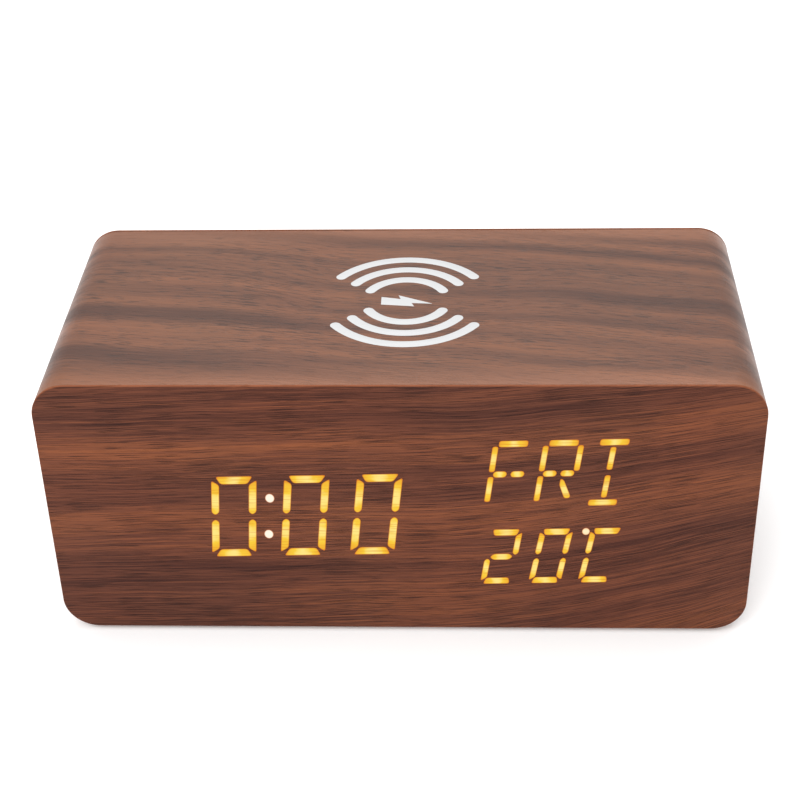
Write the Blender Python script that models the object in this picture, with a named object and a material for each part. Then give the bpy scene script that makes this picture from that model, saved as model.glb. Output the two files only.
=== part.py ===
"""Wooden alarm clock with a wireless charging top, modelled as the pieces it comes apart into.

Metres, +Z up. The origin is the middle of the footprint, on the table. The display faces -Y
and the rear panel faces +Y. Run it with: blender --background --python part.py
"""

import math

import bmesh
import bpy
from mathutils import Vector

MM = 0.001

# ---------------------------------------------------------------- driving sizes
BODY_W = 150 * MM
BODY_D = 67 * MM
BODY_H = 64 * MM
CORNER_R = 7.5 * MM
FOOT_H = 1.2 * MM

VENEER_T = 0.6 * MM  # front and rear wood sheets
WRAP_T = 0.4 * MM  # wood skin round the top, sides and underside
GLUE = 0.05 * MM  # glue line behind each wood skin
GAP = 0.3 * MM  # clearance between pieces that are only laid or screwed together
TOUCH = 0.1 * MM  # solder line under a part on a board
BITE = 1.0 * MM  # how far a cutter runs past the face it opens

# ---------------------------------------------------------------- derived levels
MID_Z = FOOT_H + BODY_H / 2
TOP_Z = FOOT_H + BODY_H
REAR_Y = BODY_D / 2
FRONT_Y = -REAR_Y

SKIN = WRAP_T + GLUE
CARCASS_W = BODY_W - 2 * SKIN
CARCASS_H = BODY_H - 2 * SKIN
CARCASS_Y = REAR_Y - VENEER_T - GLUE  # the carcass runs from -CARCASS_Y to +CARCASS_Y

# carcass, from front to rear: front wall, cavity, ledge, rebate
FRONT_WALL = 5.0 * MM
CAVITY_W, CAVITY_H, CAVITY_R = 134 * MM, 52 * MM, 3 * MM
LEDGE_T = 5.5 * MM
LEDGE_W, LEDGE_H, LEDGE_R = 110 * MM, 42.5 * MM, 2 * MM
REBATE_D = 2.5 * MM
REBATE_W, REBATE_H, REBATE_R = 124 * MM, 51 * MM, 4 * MM
CAVITY_FRONT = -CARCASS_Y + FRONT_WALL
LEDGE_REAR = CARCASS_Y - REBATE_D
CAVITY_REAR = LEDGE_REAR - LEDGE_T
CAVITY_TOP = MID_Z + CAVITY_H / 2

# display module: it sits very slightly askew in the body
DISPLAY_TILT = math.radians(1.3)
DISPLAY_X, DISPLAY_Z = -4 * MM, 33.5 * MM
WINDOW_W, WINDOW_H = 108.6 * MM, 45.6 * MM
MASK_W, MASK_H, MASK_T = 106 * MM, 42 * MM, 4.6 * MM
FILM_T = 0.25 * MM
BOARD_T = 1.6 * MM
DISPLAY_BOARD_W, DISPLAY_BOARD_H = 122 * MM, 46 * MM
DISPLAY_BOARD_Y = CAVITY_FRONT + GAP  # front face of the display board
FILM_Y = FRONT_Y + VENEER_T + 0.15 * MM
MASK_Y = FILM_Y + FILM_T + 0.15 * MM
DISPLAY_SCREW_X, DISPLAY_SCREW_Z = 58 * MM, 19 * MM

# rear panel
PANEL_T = 2.0 * MM
PANEL_Y = LEDGE_REAR + GAP  # inner face of the panel
PANEL_REAR = PANEL_Y + PANEL_T
PANEL_SCREW_X, PANEL_SCREW_Z = 58.5 * MM, 17 * MM
UPPER_ROW = MID_Z + 8 * MM
LOWER_ROW = MID_Z - 10 * MM
BUTTON_X = {"set": 14 * MM, "up": 1 * MM, "down": -12 * MM}
SWITCH_X = 1 * MM
SWITCH_TRAVEL = 2.5 * MM
USB_X = -42 * MM
BUZZER_X, BUZZER_Z = -38 * MM, MID_Z + 9 * MM
MIC_X = -18 * MM
VENT_X = 14 * MM
BATTERY_X = 39 * MM
PILLARS = [(-49 * MM, 16 * MM), (-49 * MM, -16 * MM), (20 * MM, 16 * MM), (20 * MM, -16 * MM)]
SCREWED_PILLARS = (PILLARS[0], PILLARS[3])

# control board, parallel to the rear panel
CONTROL_W, CONTROL_H = 104 * MM, 38 * MM
CONTROL_REAR = 23.2 * MM
CONTROL_FRONT = CONTROL_REAR - BOARD_T
ON_BOARD = CONTROL_REAR + TOUCH  # where a part soldered to its rear side starts
UNDER_BOARD = CONTROL_FRONT - TOUCH

# ribbon sockets: how far their floor is from their board
SOCKET_FLOOR = 2 * MM

# buttons and their switches
BUTTON_R, BUTTON_HOLE_R, BUTTON_FLANGE_R, STEM_R = 3.5 * MM, 3.8 * MM, 4.6 * MM, 1.7 * MM
TACT_SIDE, TACT_H = 6.2 * MM, 3.4 * MM
PLUNGER_R, PLUNGER_BORE_R = 1.7 * MM, 1.95 * MM
PLUNGER_TIP = 28.3 * MM

# wireless charger
COIL_Y = -1.5 * MM
POCKET_R, POCKET_TOP = 24 * MM, TOP_Z - 2.5 * MM
COIL_OUTER, COIL_INNER, COIL_T = 21.5 * MM, 10 * MM, 1.2 * MM
FERRITE_R, FERRITE_T = 22.5 * MM, 0.8 * MM
TRAY_W, TRAY_D, TRAY_T = 62 * MM, 46 * MM, 1.5 * MM
TRAY_SCREW_X = 28 * MM
CHARGER_W, CHARGER_D, CHARGER_T = 40 * MM, 32 * MM, 1.2 * MM

# coin cell and its bay
CELL_R, CELL_T = 10 * MM, 3.2 * MM
BAY_W, BAY_H = 31 * MM, 29 * MM
BAY_INSIDE = 22.4 * MM
BAY_FLOOR_Y, BAY_FLOOR_T = 24.6 * MM, 1.2 * MM
DOOR_W, DOOR_H = 28 * MM, 26 * MM

FOOT_R, FOOT_X, FOOT_Y = 5 * MM, 62 * MM, 25 * MM

# ---------------------------------------------------------------- materials
# name: (colour, roughness, metallic)
FINISHES = {
    "walnut_front": ((0.22, 0.075, 0.033), 0.55, 0.0),
    "walnut_wrap": ((0.25, 0.12, 0.07), 0.5, 0.0),
    "fibreboard": ((0.42, 0.29, 0.17), 0.85, 0.0),
    "black_plastic": ((0.018, 0.018, 0.02), 0.5, 0.0),
    "white_plastic": ((0.8, 0.8, 0.78), 0.45, 0.0),
    "film": ((0.9, 0.86, 0.74), 0.4, 0.0),
    "rubber": ((0.03, 0.03, 0.03), 0.9, 0.0),
    "green_board": ((0.02, 0.14, 0.06), 0.4, 0.0),
    "steel": ((0.6, 0.6, 0.6), 0.3, 1.0),
    "brass": ((0.75, 0.55, 0.25), 0.3, 1.0),
    "copper": ((0.8, 0.36, 0.18), 0.3, 1.0),
    "ferrite": ((0.05, 0.05, 0.055), 0.7, 0.0),
    "red_insulation": ((0.6, 0.03, 0.02), 0.5, 0.0),
    "grey_insulation": ((0.35, 0.35, 0.37), 0.5, 0.0),
}


def material(name):
    """The named finish as a Principled material, made once."""
    if name in bpy.data.materials:
        return bpy.data.materials[name]
    colour, roughness, metallic = FINISHES[name]
    made = bpy.data.materials.new(name)
    made.use_nodes = True
    shader = made.node_tree.nodes["Principled BSDF"]
    shader.inputs["Base Color"].default_value = (*colour, 1.0)
    shader.inputs["Roughness"].default_value = roughness
    shader.inputs["Metallic"].default_value = metallic
    return made


# ---------------------------------------------------------------- outlines
def rounded_rect(width, height, radius, steps=6):
    """Points of a rounded rectangle about (0, 0), anticlockwise."""
    points = []
    for quarter in range(4):
        sx, sy = ((1, 1), (-1, 1), (-1, -1), (1, -1))[quarter]
        cx, cy = sx * (width / 2 - radius), sy * (height / 2 - radius)
        for step in range(steps + 1):
            angle = math.radians(90 * (quarter + step / steps))
            points.append((cx + radius * math.cos(angle), cy + radius * math.sin(angle)))
    return points


def rectangle(width, height):
    x, y = width / 2, height / 2
    return [(x, y), (-x, y), (-x, -y), (x, -y)]


def circle(radius, steps=24):
    return [
        (radius * math.cos(math.tau * k / steps), radius * math.sin(math.tau * k / steps))
        for k in range(steps)
    ]


def cross(length, width):
    """A plus sign's outline, for a cross recess."""
    a, b = length / 2, width / 2
    upper = [(a, b), (b, b), (b, a), (-b, a), (-b, b), (-a, b)]
    return upper + [(-x, -y) for x, y in upper]


def moved(outline, dx, dy):
    return [(x + dx, y + dy) for x, y in outline]


# ---------------------------------------------------------------- solids
def place(u, v, along, axis):
    """A point of an outline (u, v) at a height along an axis, as x, y, z."""
    return {"X": (along, u, v), "Y": (u, along, v), "Z": (u, v, along)}[axis]


def add_prism(bm, outline, low, high, axis="Y"):
    """A straight solid with this outline from low to high along an axis, added to bm."""
    rings = [[bm.verts.new(place(u, v, level, axis)) for u, v in outline] for level in (low, high)]
    bm.faces.new(rings[0])
    bm.faces.new(reversed(rings[1]))
    count = len(outline)
    for k in range(count):
        after = (k + 1) % count
        bm.faces.new((rings[0][after], rings[0][k], rings[1][k], rings[1][after]))


def add_turned(bm, profile, axis="Y", centre=(0.0, 0.0), steps=24):
    """A solid turned about an axis through centre.

    profile is (radius, height) pairs that start and end at radius 0.
    """
    rings = []
    for radius, height in profile:
        if radius == 0:
            rings.append([bm.verts.new(place(*centre, height, axis))])
        else:
            rings.append(
                [bm.verts.new(place(*point, height, axis)) for point in moved(circle(radius, steps), *centre)]
            )
    for first, second in zip(rings, rings[1:]):
        for k in range(steps):
            after = (k + 1) % steps
            corners = (
                first[k % len(first)],
                first[after % len(first)],
                second[after % len(second)],
                second[k % len(second)],
            )
            bm.faces.new(list(dict.fromkeys(corners)))


def solid(name, build, finish, location=(0, 0, 0), parent=None, smooth=False):
    """A named object whose mesh is what build(bm) makes."""
    bm = bmesh.new()
    build(bm)
    bmesh.ops.recalc_face_normals(bm, faces=bm.faces)
    mesh = bpy.data.meshes.new(name)
    bm.to_mesh(mesh)
    bm.free()
    if smooth:
        mesh.shade_smooth()
        mesh.set_sharp_from_angle(angle=math.radians(35))
    made = bpy.data.objects.new(name, mesh)
    bpy.context.scene.collection.objects.link(made)
    if finish:
        mesh.materials.append(material(finish))
    made.location = location
    made.parent = parent
    return made


def prism(name, outline, low, high, finish, axis="Y", **options):
    return solid(name, lambda bm: add_prism(bm, outline, low, high, axis), finish, **options)


def turned(name, profile, finish, axis="Y", steps=24, **options):
    return solid(name, lambda bm: add_turned(bm, profile, axis, steps=steps), finish, smooth=True, **options)


def helper(name, build, location=(0, 0, 0), parent=None):
    """A solid used only to cut or to join, which isn't a part."""
    made = solid(name, build, None, location, parent)
    made.hide_render = True
    made.display_type = "WIRE"
    return made


def combine(target, tool, operation):
    modifier = target.modifiers.new(f"{operation.lower()} {tool.name}", "BOOLEAN")
    modifier.operation = operation
    modifier.solver = "EXACT"
    modifier.object = tool


def cut(target, build, **options):
    """Takes away what build makes from target."""
    count = len(target.modifiers)
    combine(target, helper(f"{target.name}_cut_{count}", build, **options), "DIFFERENCE")


def join(target, build, **options):
    """Adds what build makes to target."""
    count = len(target.modifiers)
    combine(target, helper(f"{target.name}_add_{count}", build, **options), "UNION")


def empty(name, location, rotation=(0, 0, 0)):
    made = bpy.data.objects.new(name, None)
    bpy.context.scene.collection.objects.link(made)
    made.location = location
    made.rotation_euler = rotation
    return made


# ---------------------------------------------------------------- fasteners
def screw(name, head_r, head_t, shank_r, length, recess, **options):
    """A pan-head screw along its local -Y, its shoulder at the origin, with a cross recess in the head."""
    profile = [
        (0, head_t),
        (0.55 * head_r, head_t),
        (head_r, 0.45 * head_t),
        (head_r, 0),
        (shank_r, 0),
        (shank_r, -length + shank_r),
        (0, -length),
    ]
    made = turned(name, profile, "steel", steps=10, **options)
    outline = cross(recess, 0.28 * recess)
    cut(
        made,
        lambda bm: add_prism(bm, outline, 0.3 * head_t, head_t + BITE),
        parent=made,
    )
    return made


# ---------------------------------------------------------------- segment outlines
def seven_segments(width, height, thick, gap):
    """Outlines of the seven bars of a digit, about its centre, upright.

    width and height are measured between the bars' centre lines.
    """
    x, y, t = width / 2, height / 2, thick / 2
    mitre = gap / math.sqrt(2)
    out, inn = x + t, x - t
    top = [(mitre - out, y + t), (mitre - inn, y - t), (inn - mitre, y - t), (out - mitre, y + t)]
    side = [(out, y + t - mitre), (inn, y - t - mitre), (inn, t + mitre), (x, mitre), (out, t + mitre)]
    end = x - mitre
    middle = [(end, 0), (end - t, t), (t - end, t), (-end, 0), (t - end, -t), (end - t, -t)]
    return {
        "a": top,
        "b": side,
        "c": mirrored(side, 1, -1),
        "d": mirrored(top, 1, -1),
        "e": mirrored(side, -1, -1),
        "f": mirrored(side, -1, 1),
        "g": middle,
    }


def mirrored(outline, sx, sy):
    turned_over = [(sx * x, sy * y) for x, y in outline]
    return turned_over[::-1] if sx * sy < 0 else turned_over


def fourteen_segments(width, height, thick, gap):
    """Outlines of the fourteen bars of a letter, about its centre, upright."""
    x, y, t = width / 2, height / 2, thick / 2
    post = height / 2 - thick - 2 * gap
    top = moved(rectangle(width - 0.6 * thick, thick), 0, y)
    side = moved(rectangle(thick, post), x, y / 2)
    centre = moved(rectangle(thick, post), 0, y / 2)
    inner, outer = t + gap, x - t - gap
    low, high = t + gap, y - t - gap
    half = moved(rectangle(outer - gap, thick), (outer + gap) / 2, 0)
    diagonal = [(inner, low), (outer, high - 2 * t), (outer, high), (inner, low + 2 * t)]
    return {
        "a": top,
        "b": side,
        "c": mirrored(side, 1, -1),
        "d": mirrored(top, 1, -1),
        "e": mirrored(side, -1, -1),
        "f": mirrored(side, -1, 1),
        "g1": mirrored(half, -1, 1),
        "g2": half,
        "h": mirrored(diagonal, -1, 1),
        "i": centre,
        "j": diagonal,
        "k": mirrored(diagonal, -1, -1),
        "l": mirrored(centre, 1, -1),
        "m": mirrored(diagonal, 1, -1),
    }


def slanted(outline, slant, dx, dy):
    """The outline leaned over to the right by an angle, then moved."""
    lean = math.tan(slant)
    return [(x + lean * y + dx, y + dy) for x, y in outline]


# character groups, in the display module's own frame
TIME = {"x": -46.55 * MM, "z": -0.8 * MM, "pitch": 15.15 * MM, "count": 4, "slant": math.radians(6.7)}
WEEKDAY = {"x": 27.0 * MM, "z": 9.2 * MM, "pitch": 10.32 * MM, "count": 3, "slant": math.radians(8.9)}
DEGREES = {"x": 25.1 * MM, "z": -12.7 * MM, "pitch": 10.66 * MM, "count": 3, "slant": math.radians(11.3)}
TIME_SHAPES = seven_segments(7.93 * MM, 19.3 * MM, 1.65 * MM, 0.6 * MM)
WEEKDAY_SHAPES = fourteen_segments(7.2 * MM, 15.4 * MM, 1.3 * MM, 0.35 * MM)
DEGREES_SHAPES = seven_segments(5.75 * MM, 13.2 * MM, 1.35 * MM, 0.35 * MM)
COLON_X, COLON_RISE, COLON_R = -23.85 * MM, 4.78 * MM, 1.0 * MM
DEGREE_DOT_X, DEGREE_DOT_Z, DEGREE_DOT_R = 43.15 * MM, -6.15 * MM, 0.8 * MM


def light_openings():
    """The outline of every opening in the light mask, in the module's frame."""
    found = []
    for group, shapes in ((TIME, TIME_SHAPES), (WEEKDAY, WEEKDAY_SHAPES), (DEGREES, DEGREES_SHAPES)):
        for place_number in range(group["count"]):
            centre = group["x"] + place_number * group["pitch"]
            found += [slanted(shape, group["slant"], centre, group["z"]) for shape in shapes.values()]
    for side in (-1, 1):
        rise = side * COLON_RISE
        lean = rise * math.tan(TIME["slant"])
        found.append(moved(circle(COLON_R, 8), COLON_X + lean, TIME["z"] + rise))
    found.append(moved(circle(DEGREE_DOT_R, 8), DEGREE_DOT_X, DEGREE_DOT_Z))
    return found


# ---------------------------------------------------------------- wooden body
def make_body():
    outline = rounded_rect(BODY_W, BODY_H, CORNER_R)
    middle = {"location": (0, 0, MID_Z), "smooth": True}
    prism("front_veneer", outline, FRONT_Y, FRONT_Y + VENEER_T, "walnut_front", **middle)

    rear = prism("rear_veneer", outline, REAR_Y - VENEER_T, REAR_Y, "walnut_front", **middle)
    window = rounded_rect(REBATE_W + 2 * GAP, REBATE_H + 2 * GAP, REBATE_R + GAP, 4)
    through = (REAR_Y - VENEER_T - BITE, REAR_Y + BITE)
    cut(rear, lambda bm: add_prism(bm, window, *through), location=(0, 0, MID_Z))

    wrap = prism("side_wrap", outline, -CARCASS_Y, CARCASS_Y, "walnut_wrap", **middle)
    inside = rounded_rect(BODY_W - 2 * WRAP_T, BODY_H - 2 * WRAP_T, CORNER_R - WRAP_T)
    cut(wrap, lambda bm: add_prism(bm, inside, -CARCASS_Y - BITE, CARCASS_Y + BITE), location=(0, 0, MID_Z))

    core = rounded_rect(CARCASS_W, CARCASS_H, CORNER_R - SKIN)
    carcass = prism("carcass", core, -CARCASS_Y, CARCASS_Y, "fibreboard", **middle)
    cavity = rounded_rect(CAVITY_W, CAVITY_H, CAVITY_R, 2)
    ledge = rounded_rect(LEDGE_W, LEDGE_H, LEDGE_R, 2)
    rebate = rounded_rect(REBATE_W, REBATE_H, REBATE_R, 4)
    front = rectangle(WINDOW_W, WINDOW_H)
    cut(carcass, lambda bm: add_prism(bm, cavity, CAVITY_FRONT, CAVITY_REAR), location=(0, 0, MID_Z))
    cut(carcass, lambda bm: add_prism(bm, ledge, 0, CARCASS_Y), location=(0, 0, MID_Z))
    cut(carcass, lambda bm: add_prism(bm, rebate, LEDGE_REAR, CARCASS_Y + BITE), location=(0, 0, MID_Z))
    cut(
        carcass,
        lambda bm: add_prism(bm, front, -CARCASS_Y - BITE, 0),
        location=(DISPLAY_X, 0, DISPLAY_Z),
    )
    cut(
        carcass,
        lambda bm: add_prism(bm, circle(POCKET_R, 32), CAVITY_TOP - BITE, POCKET_TOP, "Z"),
        location=(0, COIL_Y, 0),
    )
    return carcass


def make_feet():
    top = FOOT_H - GLUE
    profile = [(0, 0), (FOOT_R - 0.3 * MM, 0), (FOOT_R, 0.3 * MM), (FOOT_R, top), (0, top)]
    for number, (sx, sy) in enumerate(((-1, -1), (1, -1), (1, 1), (-1, 1)), 1):
        spot = (sx * FOOT_X, sy * FOOT_Y, 0)
        turned(f"foot_{number}", profile, "rubber", axis="Z", steps=20, location=spot)


# ---------------------------------------------------------------- display module
def make_display(carcass):
    module = empty("display_module", (DISPLAY_X, 0, DISPLAY_Z), (0, -DISPLAY_TILT, 0))
    window = rectangle(MASK_W, MASK_H)
    prism("diffuser_film", window, FILM_Y, FILM_Y + FILM_T, "film", parent=module)
    mask = prism("light_mask", window, MASK_Y, MASK_Y + MASK_T, "white_plastic", parent=module)

    def openings(bm):
        for outline in light_openings():
            add_prism(bm, outline, MASK_Y - BITE, MASK_Y + MASK_T + BITE)

    cut(mask, openings, parent=module)

    back = DISPLAY_BOARD_Y + BOARD_T
    board = prism(
        "display_board",
        rounded_rect(DISPLAY_BOARD_W, DISPLAY_BOARD_H, 1.5 * MM, 3),
        DISPLAY_BOARD_Y,
        back,
        "green_board",
        parent=module,
    )
    corners = [(sx * DISPLAY_SCREW_X, sz * DISPLAY_SCREW_Z) for sx in (-1, 1) for sz in (-1, 1)]

    def screw_holes(radius, low, high):
        def build(bm):
            for corner in corners:
                add_prism(bm, moved(circle(radius, 8), *corner), low, high)

        return build

    cut(board, screw_holes(1.3 * MM, DISPLAY_BOARD_Y - BITE, back + BITE), parent=module)
    screw_length = 5.6 * MM
    shoulder = back + GAP
    cut(carcass, screw_holes(1.15 * MM, shoulder - screw_length - GAP, 0), parent=module)
    for number, (x, z) in enumerate(corners, 1):
        screw(
            f"display_screw_{number}",
            2.1 * MM,
            1.4 * MM,
            1.0 * MM,
            screw_length,
            2.4 * MM,
            location=(x, shoulder, z),
            parent=module,
        )

    prism(
        "driver_chip",
        moved(rectangle(12 * MM, 12 * MM), -10 * MM, 6 * MM),
        back + TOUCH,
        back + 1.7 * MM,
        "black_plastic",
        parent=module,
    )
    make_header("display_header", back + TOUCH, 1, (24 * MM, 0, -10 * MM), module)


def make_header(name, start, direction, location, parent=None):
    """A ribbon socket: a box on a board, its mouth facing away from the board along Y."""
    depth, wall = 6 * MM, 0.9 * MM
    width, height = 16 * MM, 5.6 * MM
    outside = sorted((start, start + direction * depth))
    inside = sorted((start + direction * SOCKET_FLOOR, start + direction * (depth + BITE)))
    spot = {"location": location, "parent": parent}
    made = prism(name, rectangle(width, height), *outside, "white_plastic", **spot)
    mouth = rectangle(width - 2 * wall, height - 2 * wall)
    cut(made, lambda bm: add_prism(bm, mouth, *inside), **spot)


# ---------------------------------------------------------------- rear panel
def make_rear_panel(carcass):
    outline = rounded_rect(REBATE_W - 2 * GAP, REBATE_H - 2 * GAP, REBATE_R - GAP, 4)
    at_middle = {"location": (0, 0, MID_Z)}
    panel = prism("rear_panel", outline, PANEL_Y, PANEL_REAR, "black_plastic", **at_middle)
    at_bay = {"location": (BATTERY_X, 0, MID_Z)}
    bay = rounded_rect(BAY_W, BAY_H, 3 * MM, 2)
    join(panel, lambda bm: add_prism(bm, bay, BAY_FLOOR_Y, PANEL_Y + 0.5 * MM), **at_bay)

    def pillars(bm):
        for x, z in PILLARS:
            add_prism(bm, moved(circle(2.8 * MM, 10), x, z), CONTROL_REAR + GAP, PANEL_Y + 0.5 * MM)

    join(panel, pillars, **at_middle)

    door_opening = rounded_rect(DOOR_W + 2 * GAP, DOOR_H + 2 * GAP, 2 * MM, 3)
    bay_inside = rounded_rect(BAY_INSIDE, BAY_INSIDE, 2 * MM, 2)
    bay_low = BAY_FLOOR_Y + BAY_FLOOR_T

    def openings(bm):
        through = (PANEL_Y - BITE, PANEL_REAR + BITE)
        for x in BUTTON_X.values():
            add_prism(bm, moved(circle(BUTTON_HOLE_R, 20), x, UPPER_ROW - MID_Z), *through)
        slot = rounded_rect(7.4 * MM, 3.2 * MM, 0.5 * MM, 2)
        add_prism(bm, moved(slot, SWITCH_X, LOWER_ROW - MID_Z), *through)
        usb = rounded_rect(9.6 * MM, 3.8 * MM, 1.88 * MM, 4)
        add_prism(bm, moved(usb, USB_X, LOWER_ROW - MID_Z), *through)
        add_prism(bm, moved(circle(0.8 * MM, 8), MIC_X, LOWER_ROW - MID_Z), *through)
        for row in (-1, 0, 1):
            vent = rounded_rect(7 * MM, 1.1 * MM, 0.5 * MM, 2)
            add_prism(bm, moved(vent, VENT_X, LOWER_ROW - MID_Z + row * 2.4 * MM), *through)
        grille = [(0, 0)] + circle(3.4 * MM, 6)
        for dx, dz in grille:
            add_prism(bm, moved(circle(0.8 * MM, 8), BUZZER_X + dx, BUZZER_Z - MID_Z + dz), *through)

    cut(panel, openings, **at_middle)
    cut(panel, lambda bm: add_prism(bm, door_opening, PANEL_Y, PANEL_REAR + BITE), **at_bay)
    cut(panel, lambda bm: add_prism(bm, bay_inside, bay_low, PANEL_REAR), **at_bay)

    def board_screw_holes(bm):
        for x, z in SCREWED_PILLARS:
            add_prism(bm, moved(circle(1.15 * MM, 8), x, z), CONTROL_REAR, CONTROL_REAR + 5 * MM)

    cut(panel, board_screw_holes, **at_middle)

    corners = [(sx * PANEL_SCREW_X, sz * PANEL_SCREW_Z) for sx in (-1, 1) for sz in (-1, 1)]
    seat_y = PANEL_REAR - 1.4 * MM

    def panel_screw_holes(bm):
        for corner in corners:
            profile = [(0, PANEL_Y - BITE), (1.4 * MM, PANEL_Y - BITE), (1.4 * MM, seat_y)]
            profile += [(2.9 * MM, seat_y), (2.9 * MM, PANEL_REAR + BITE), (0, PANEL_REAR + BITE)]
            add_turned(bm, profile, centre=corner, steps=14)

    cut(panel, panel_screw_holes, **at_middle)
    length = 6.5 * MM
    shoulder = seat_y + TOUCH

    def pilot_holes(bm):
        for corner in corners:
            add_prism(bm, moved(circle(1.3 * MM, 8), *corner), shoulder - length - GAP, LEDGE_REAR + BITE)

    cut(carcass, pilot_holes, **at_middle)
    for number, (x, z) in enumerate(corners, 1):
        screw(
            f"panel_screw_{number}",
            2.6 * MM,
            1.2 * MM,
            1.15 * MM,
            length,
            2.8 * MM,
            location=(x, shoulder, MID_Z + z),
        )


def make_battery():
    """Coin cell in its bay, its two contacts and the door that closes it."""
    middle = (BATTERY_X, 0, MID_Z)
    cell_y = BAY_FLOOR_Y + BAY_FLOOR_T + 1.1 * MM
    profile = [
        (0, cell_y),
        (CELL_R - 1.3 * MM, cell_y),
        (CELL_R - 1.1 * MM, cell_y + 0.5 * MM),
        (CELL_R, cell_y + 0.6 * MM),
        (CELL_R, cell_y + CELL_T - 0.2 * MM),
        (CELL_R - 0.2 * MM, cell_y + CELL_T),
        (0, cell_y + CELL_T),
    ]
    turned("battery_cell", profile, "steel", steps=24, location=middle)

    floor = BAY_FLOOR_Y + BAY_FLOOR_T + TOUCH
    # a leaf spring: flat foot, ramp up to the cell, short curl at its tip
    leaf = [(0, 0), (3.0, 0), (7.0, 0.62), (8.0, 0.62), (9.0, 0.25)]
    thick = 0.2
    strip = [(x * MM, floor + y * MM) for x, y in leaf]
    strip += [(x * MM, floor + (y + thick) * MM) for x, y in reversed(leaf)]
    strip = moved(strip, -5.5 * MM, 0)
    prism("battery_contact_minus", strip, -2 * MM, 2 * MM, "brass", axis="Z", location=middle)

    side = BAY_INSIDE / 2 - TOUCH
    # a clip up the bay's side that hooks over the cell's rim
    clip = [
        (side - 0.2 * MM, floor),
        (side, floor),
        (side, cell_y + CELL_T + 0.6 * MM),
        (side - 2.6 * MM, cell_y + CELL_T + 0.4 * MM),
        (side - 2.6 * MM, cell_y + CELL_T + 0.2 * MM),
        (side - 0.2 * MM, cell_y + CELL_T + 0.4 * MM),
    ]
    prism("battery_contact_plus", clip, -2.5 * MM, 2.5 * MM, "brass", axis="Z", location=middle)

    door_y, door_t = PANEL_Y + GAP, PANEL_T - GAP
    door = prism(
        "battery_door",
        rounded_rect(DOOR_W, DOOR_H, 1.7 * MM, 4),
        door_y,
        door_y + door_t,
        "black_plastic",
        location=middle,
    )

    def tabs(bm):
        for sx in (-1, 1):
            tab = moved(rectangle(4 * MM, 1 * MM), sx * 6 * MM, BAY_INSIDE / 2 - 0.8 * MM)
            add_prism(bm, tab, door_y - 2 * MM, door_y + 0.5 * MM)

    join(door, tabs, parent=door)
    groove = moved(rounded_rect(9 * MM, 2.2 * MM, 1.05 * MM, 4), 0, -DOOR_H / 2 + 3.4 * MM)
    groove_low = door_y + door_t - 0.9 * MM
    cut(door, lambda bm: add_prism(bm, groove, groove_low, groove_low + BITE), parent=door)


# ---------------------------------------------------------------- control board
def make_control_board():
    board = prism(
        "control_board",
        rounded_rect(CONTROL_W, CONTROL_H, 1.5 * MM, 3),
        CONTROL_FRONT,
        CONTROL_REAR,
        "green_board",
        location=(0, 0, MID_Z),
    )

    def holes(bm):
        for x, z in SCREWED_PILLARS:
            add_prism(bm, moved(circle(1.3 * MM, 10), x, z), CONTROL_FRONT - BITE, CONTROL_REAR + BITE)

    cut(board, holes, location=(0, 0, MID_Z))
    for number, (x, z) in enumerate(SCREWED_PILLARS, 1):
        made = screw(
            f"board_screw_{number}",
            2.0 * MM,
            1.3 * MM,
            1.0 * MM,
            5.5 * MM,
            2.3 * MM,
            location=(x, CONTROL_FRONT - TOUCH, MID_Z + z),
        )
        made.rotation_euler = (0, 0, math.pi)

    prism(
        "controller_chip",
        moved(rectangle(18 * MM, 7.5 * MM), -14 * MM, 3 * MM),
        UNDER_BOARD - 2.4 * MM,
        UNDER_BOARD,
        "black_plastic",
        location=(0, 0, MID_Z),
    )
    prism(
        "clock_crystal",
        rounded_rect(11 * MM, 4.6 * MM, 2.2 * MM, 5),
        UNDER_BOARD - 3.5 * MM,
        UNDER_BOARD,
        "steel",
        location=(6 * MM, 0, MID_Z + 9 * MM),
        smooth=True,
    )
    top = UNDER_BOARD - 11.5 * MM
    can_r, groove_r = 4 * MM, 3.6 * MM
    profile = [
        (0, UNDER_BOARD),
        (can_r, UNDER_BOARD),
        (can_r, UNDER_BOARD - 1.2 * MM),
        (groove_r, UNDER_BOARD - 1.6 * MM),
        (can_r, UNDER_BOARD - 2.0 * MM),
        (can_r, top + 0.5 * MM),
        (can_r - 0.5 * MM, top),
        (0, top),
    ]
    turned("filter_capacitor", profile, "black_plastic", steps=12, location=(-34 * MM, 0, MID_Z + 8 * MM))
    make_header("control_header", UNDER_BOARD, -1, (20 * MM, 0, MID_Z - 9 * MM))

    buzzer_top = ON_BOARD + 6 * MM
    profile = [(0, ON_BOARD), (6 * MM, ON_BOARD), (6 * MM, buzzer_top - 0.4 * MM), (5.6 * MM, buzzer_top)]
    profile += [(1.2 * MM, buzzer_top), (1.2 * MM, buzzer_top - 2 * MM), (0, buzzer_top - 2 * MM)]
    turned("buzzer", profile, "black_plastic", steps=16, location=(BUZZER_X, 0, BUZZER_Z))

    mic_top = ON_BOARD + 2.8 * MM
    profile = [(0, ON_BOARD), (3 * MM, ON_BOARD), (3 * MM, mic_top - 0.3 * MM), (2.7 * MM, mic_top)]
    profile += [(2.3 * MM, mic_top), (2.3 * MM, mic_top - 0.2 * MM), (0, mic_top - 0.2 * MM)]
    turned("microphone", profile, "steel", steps=12, location=(MIC_X, 0, LOWER_ROW))
    make_temp_sensor()


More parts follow.
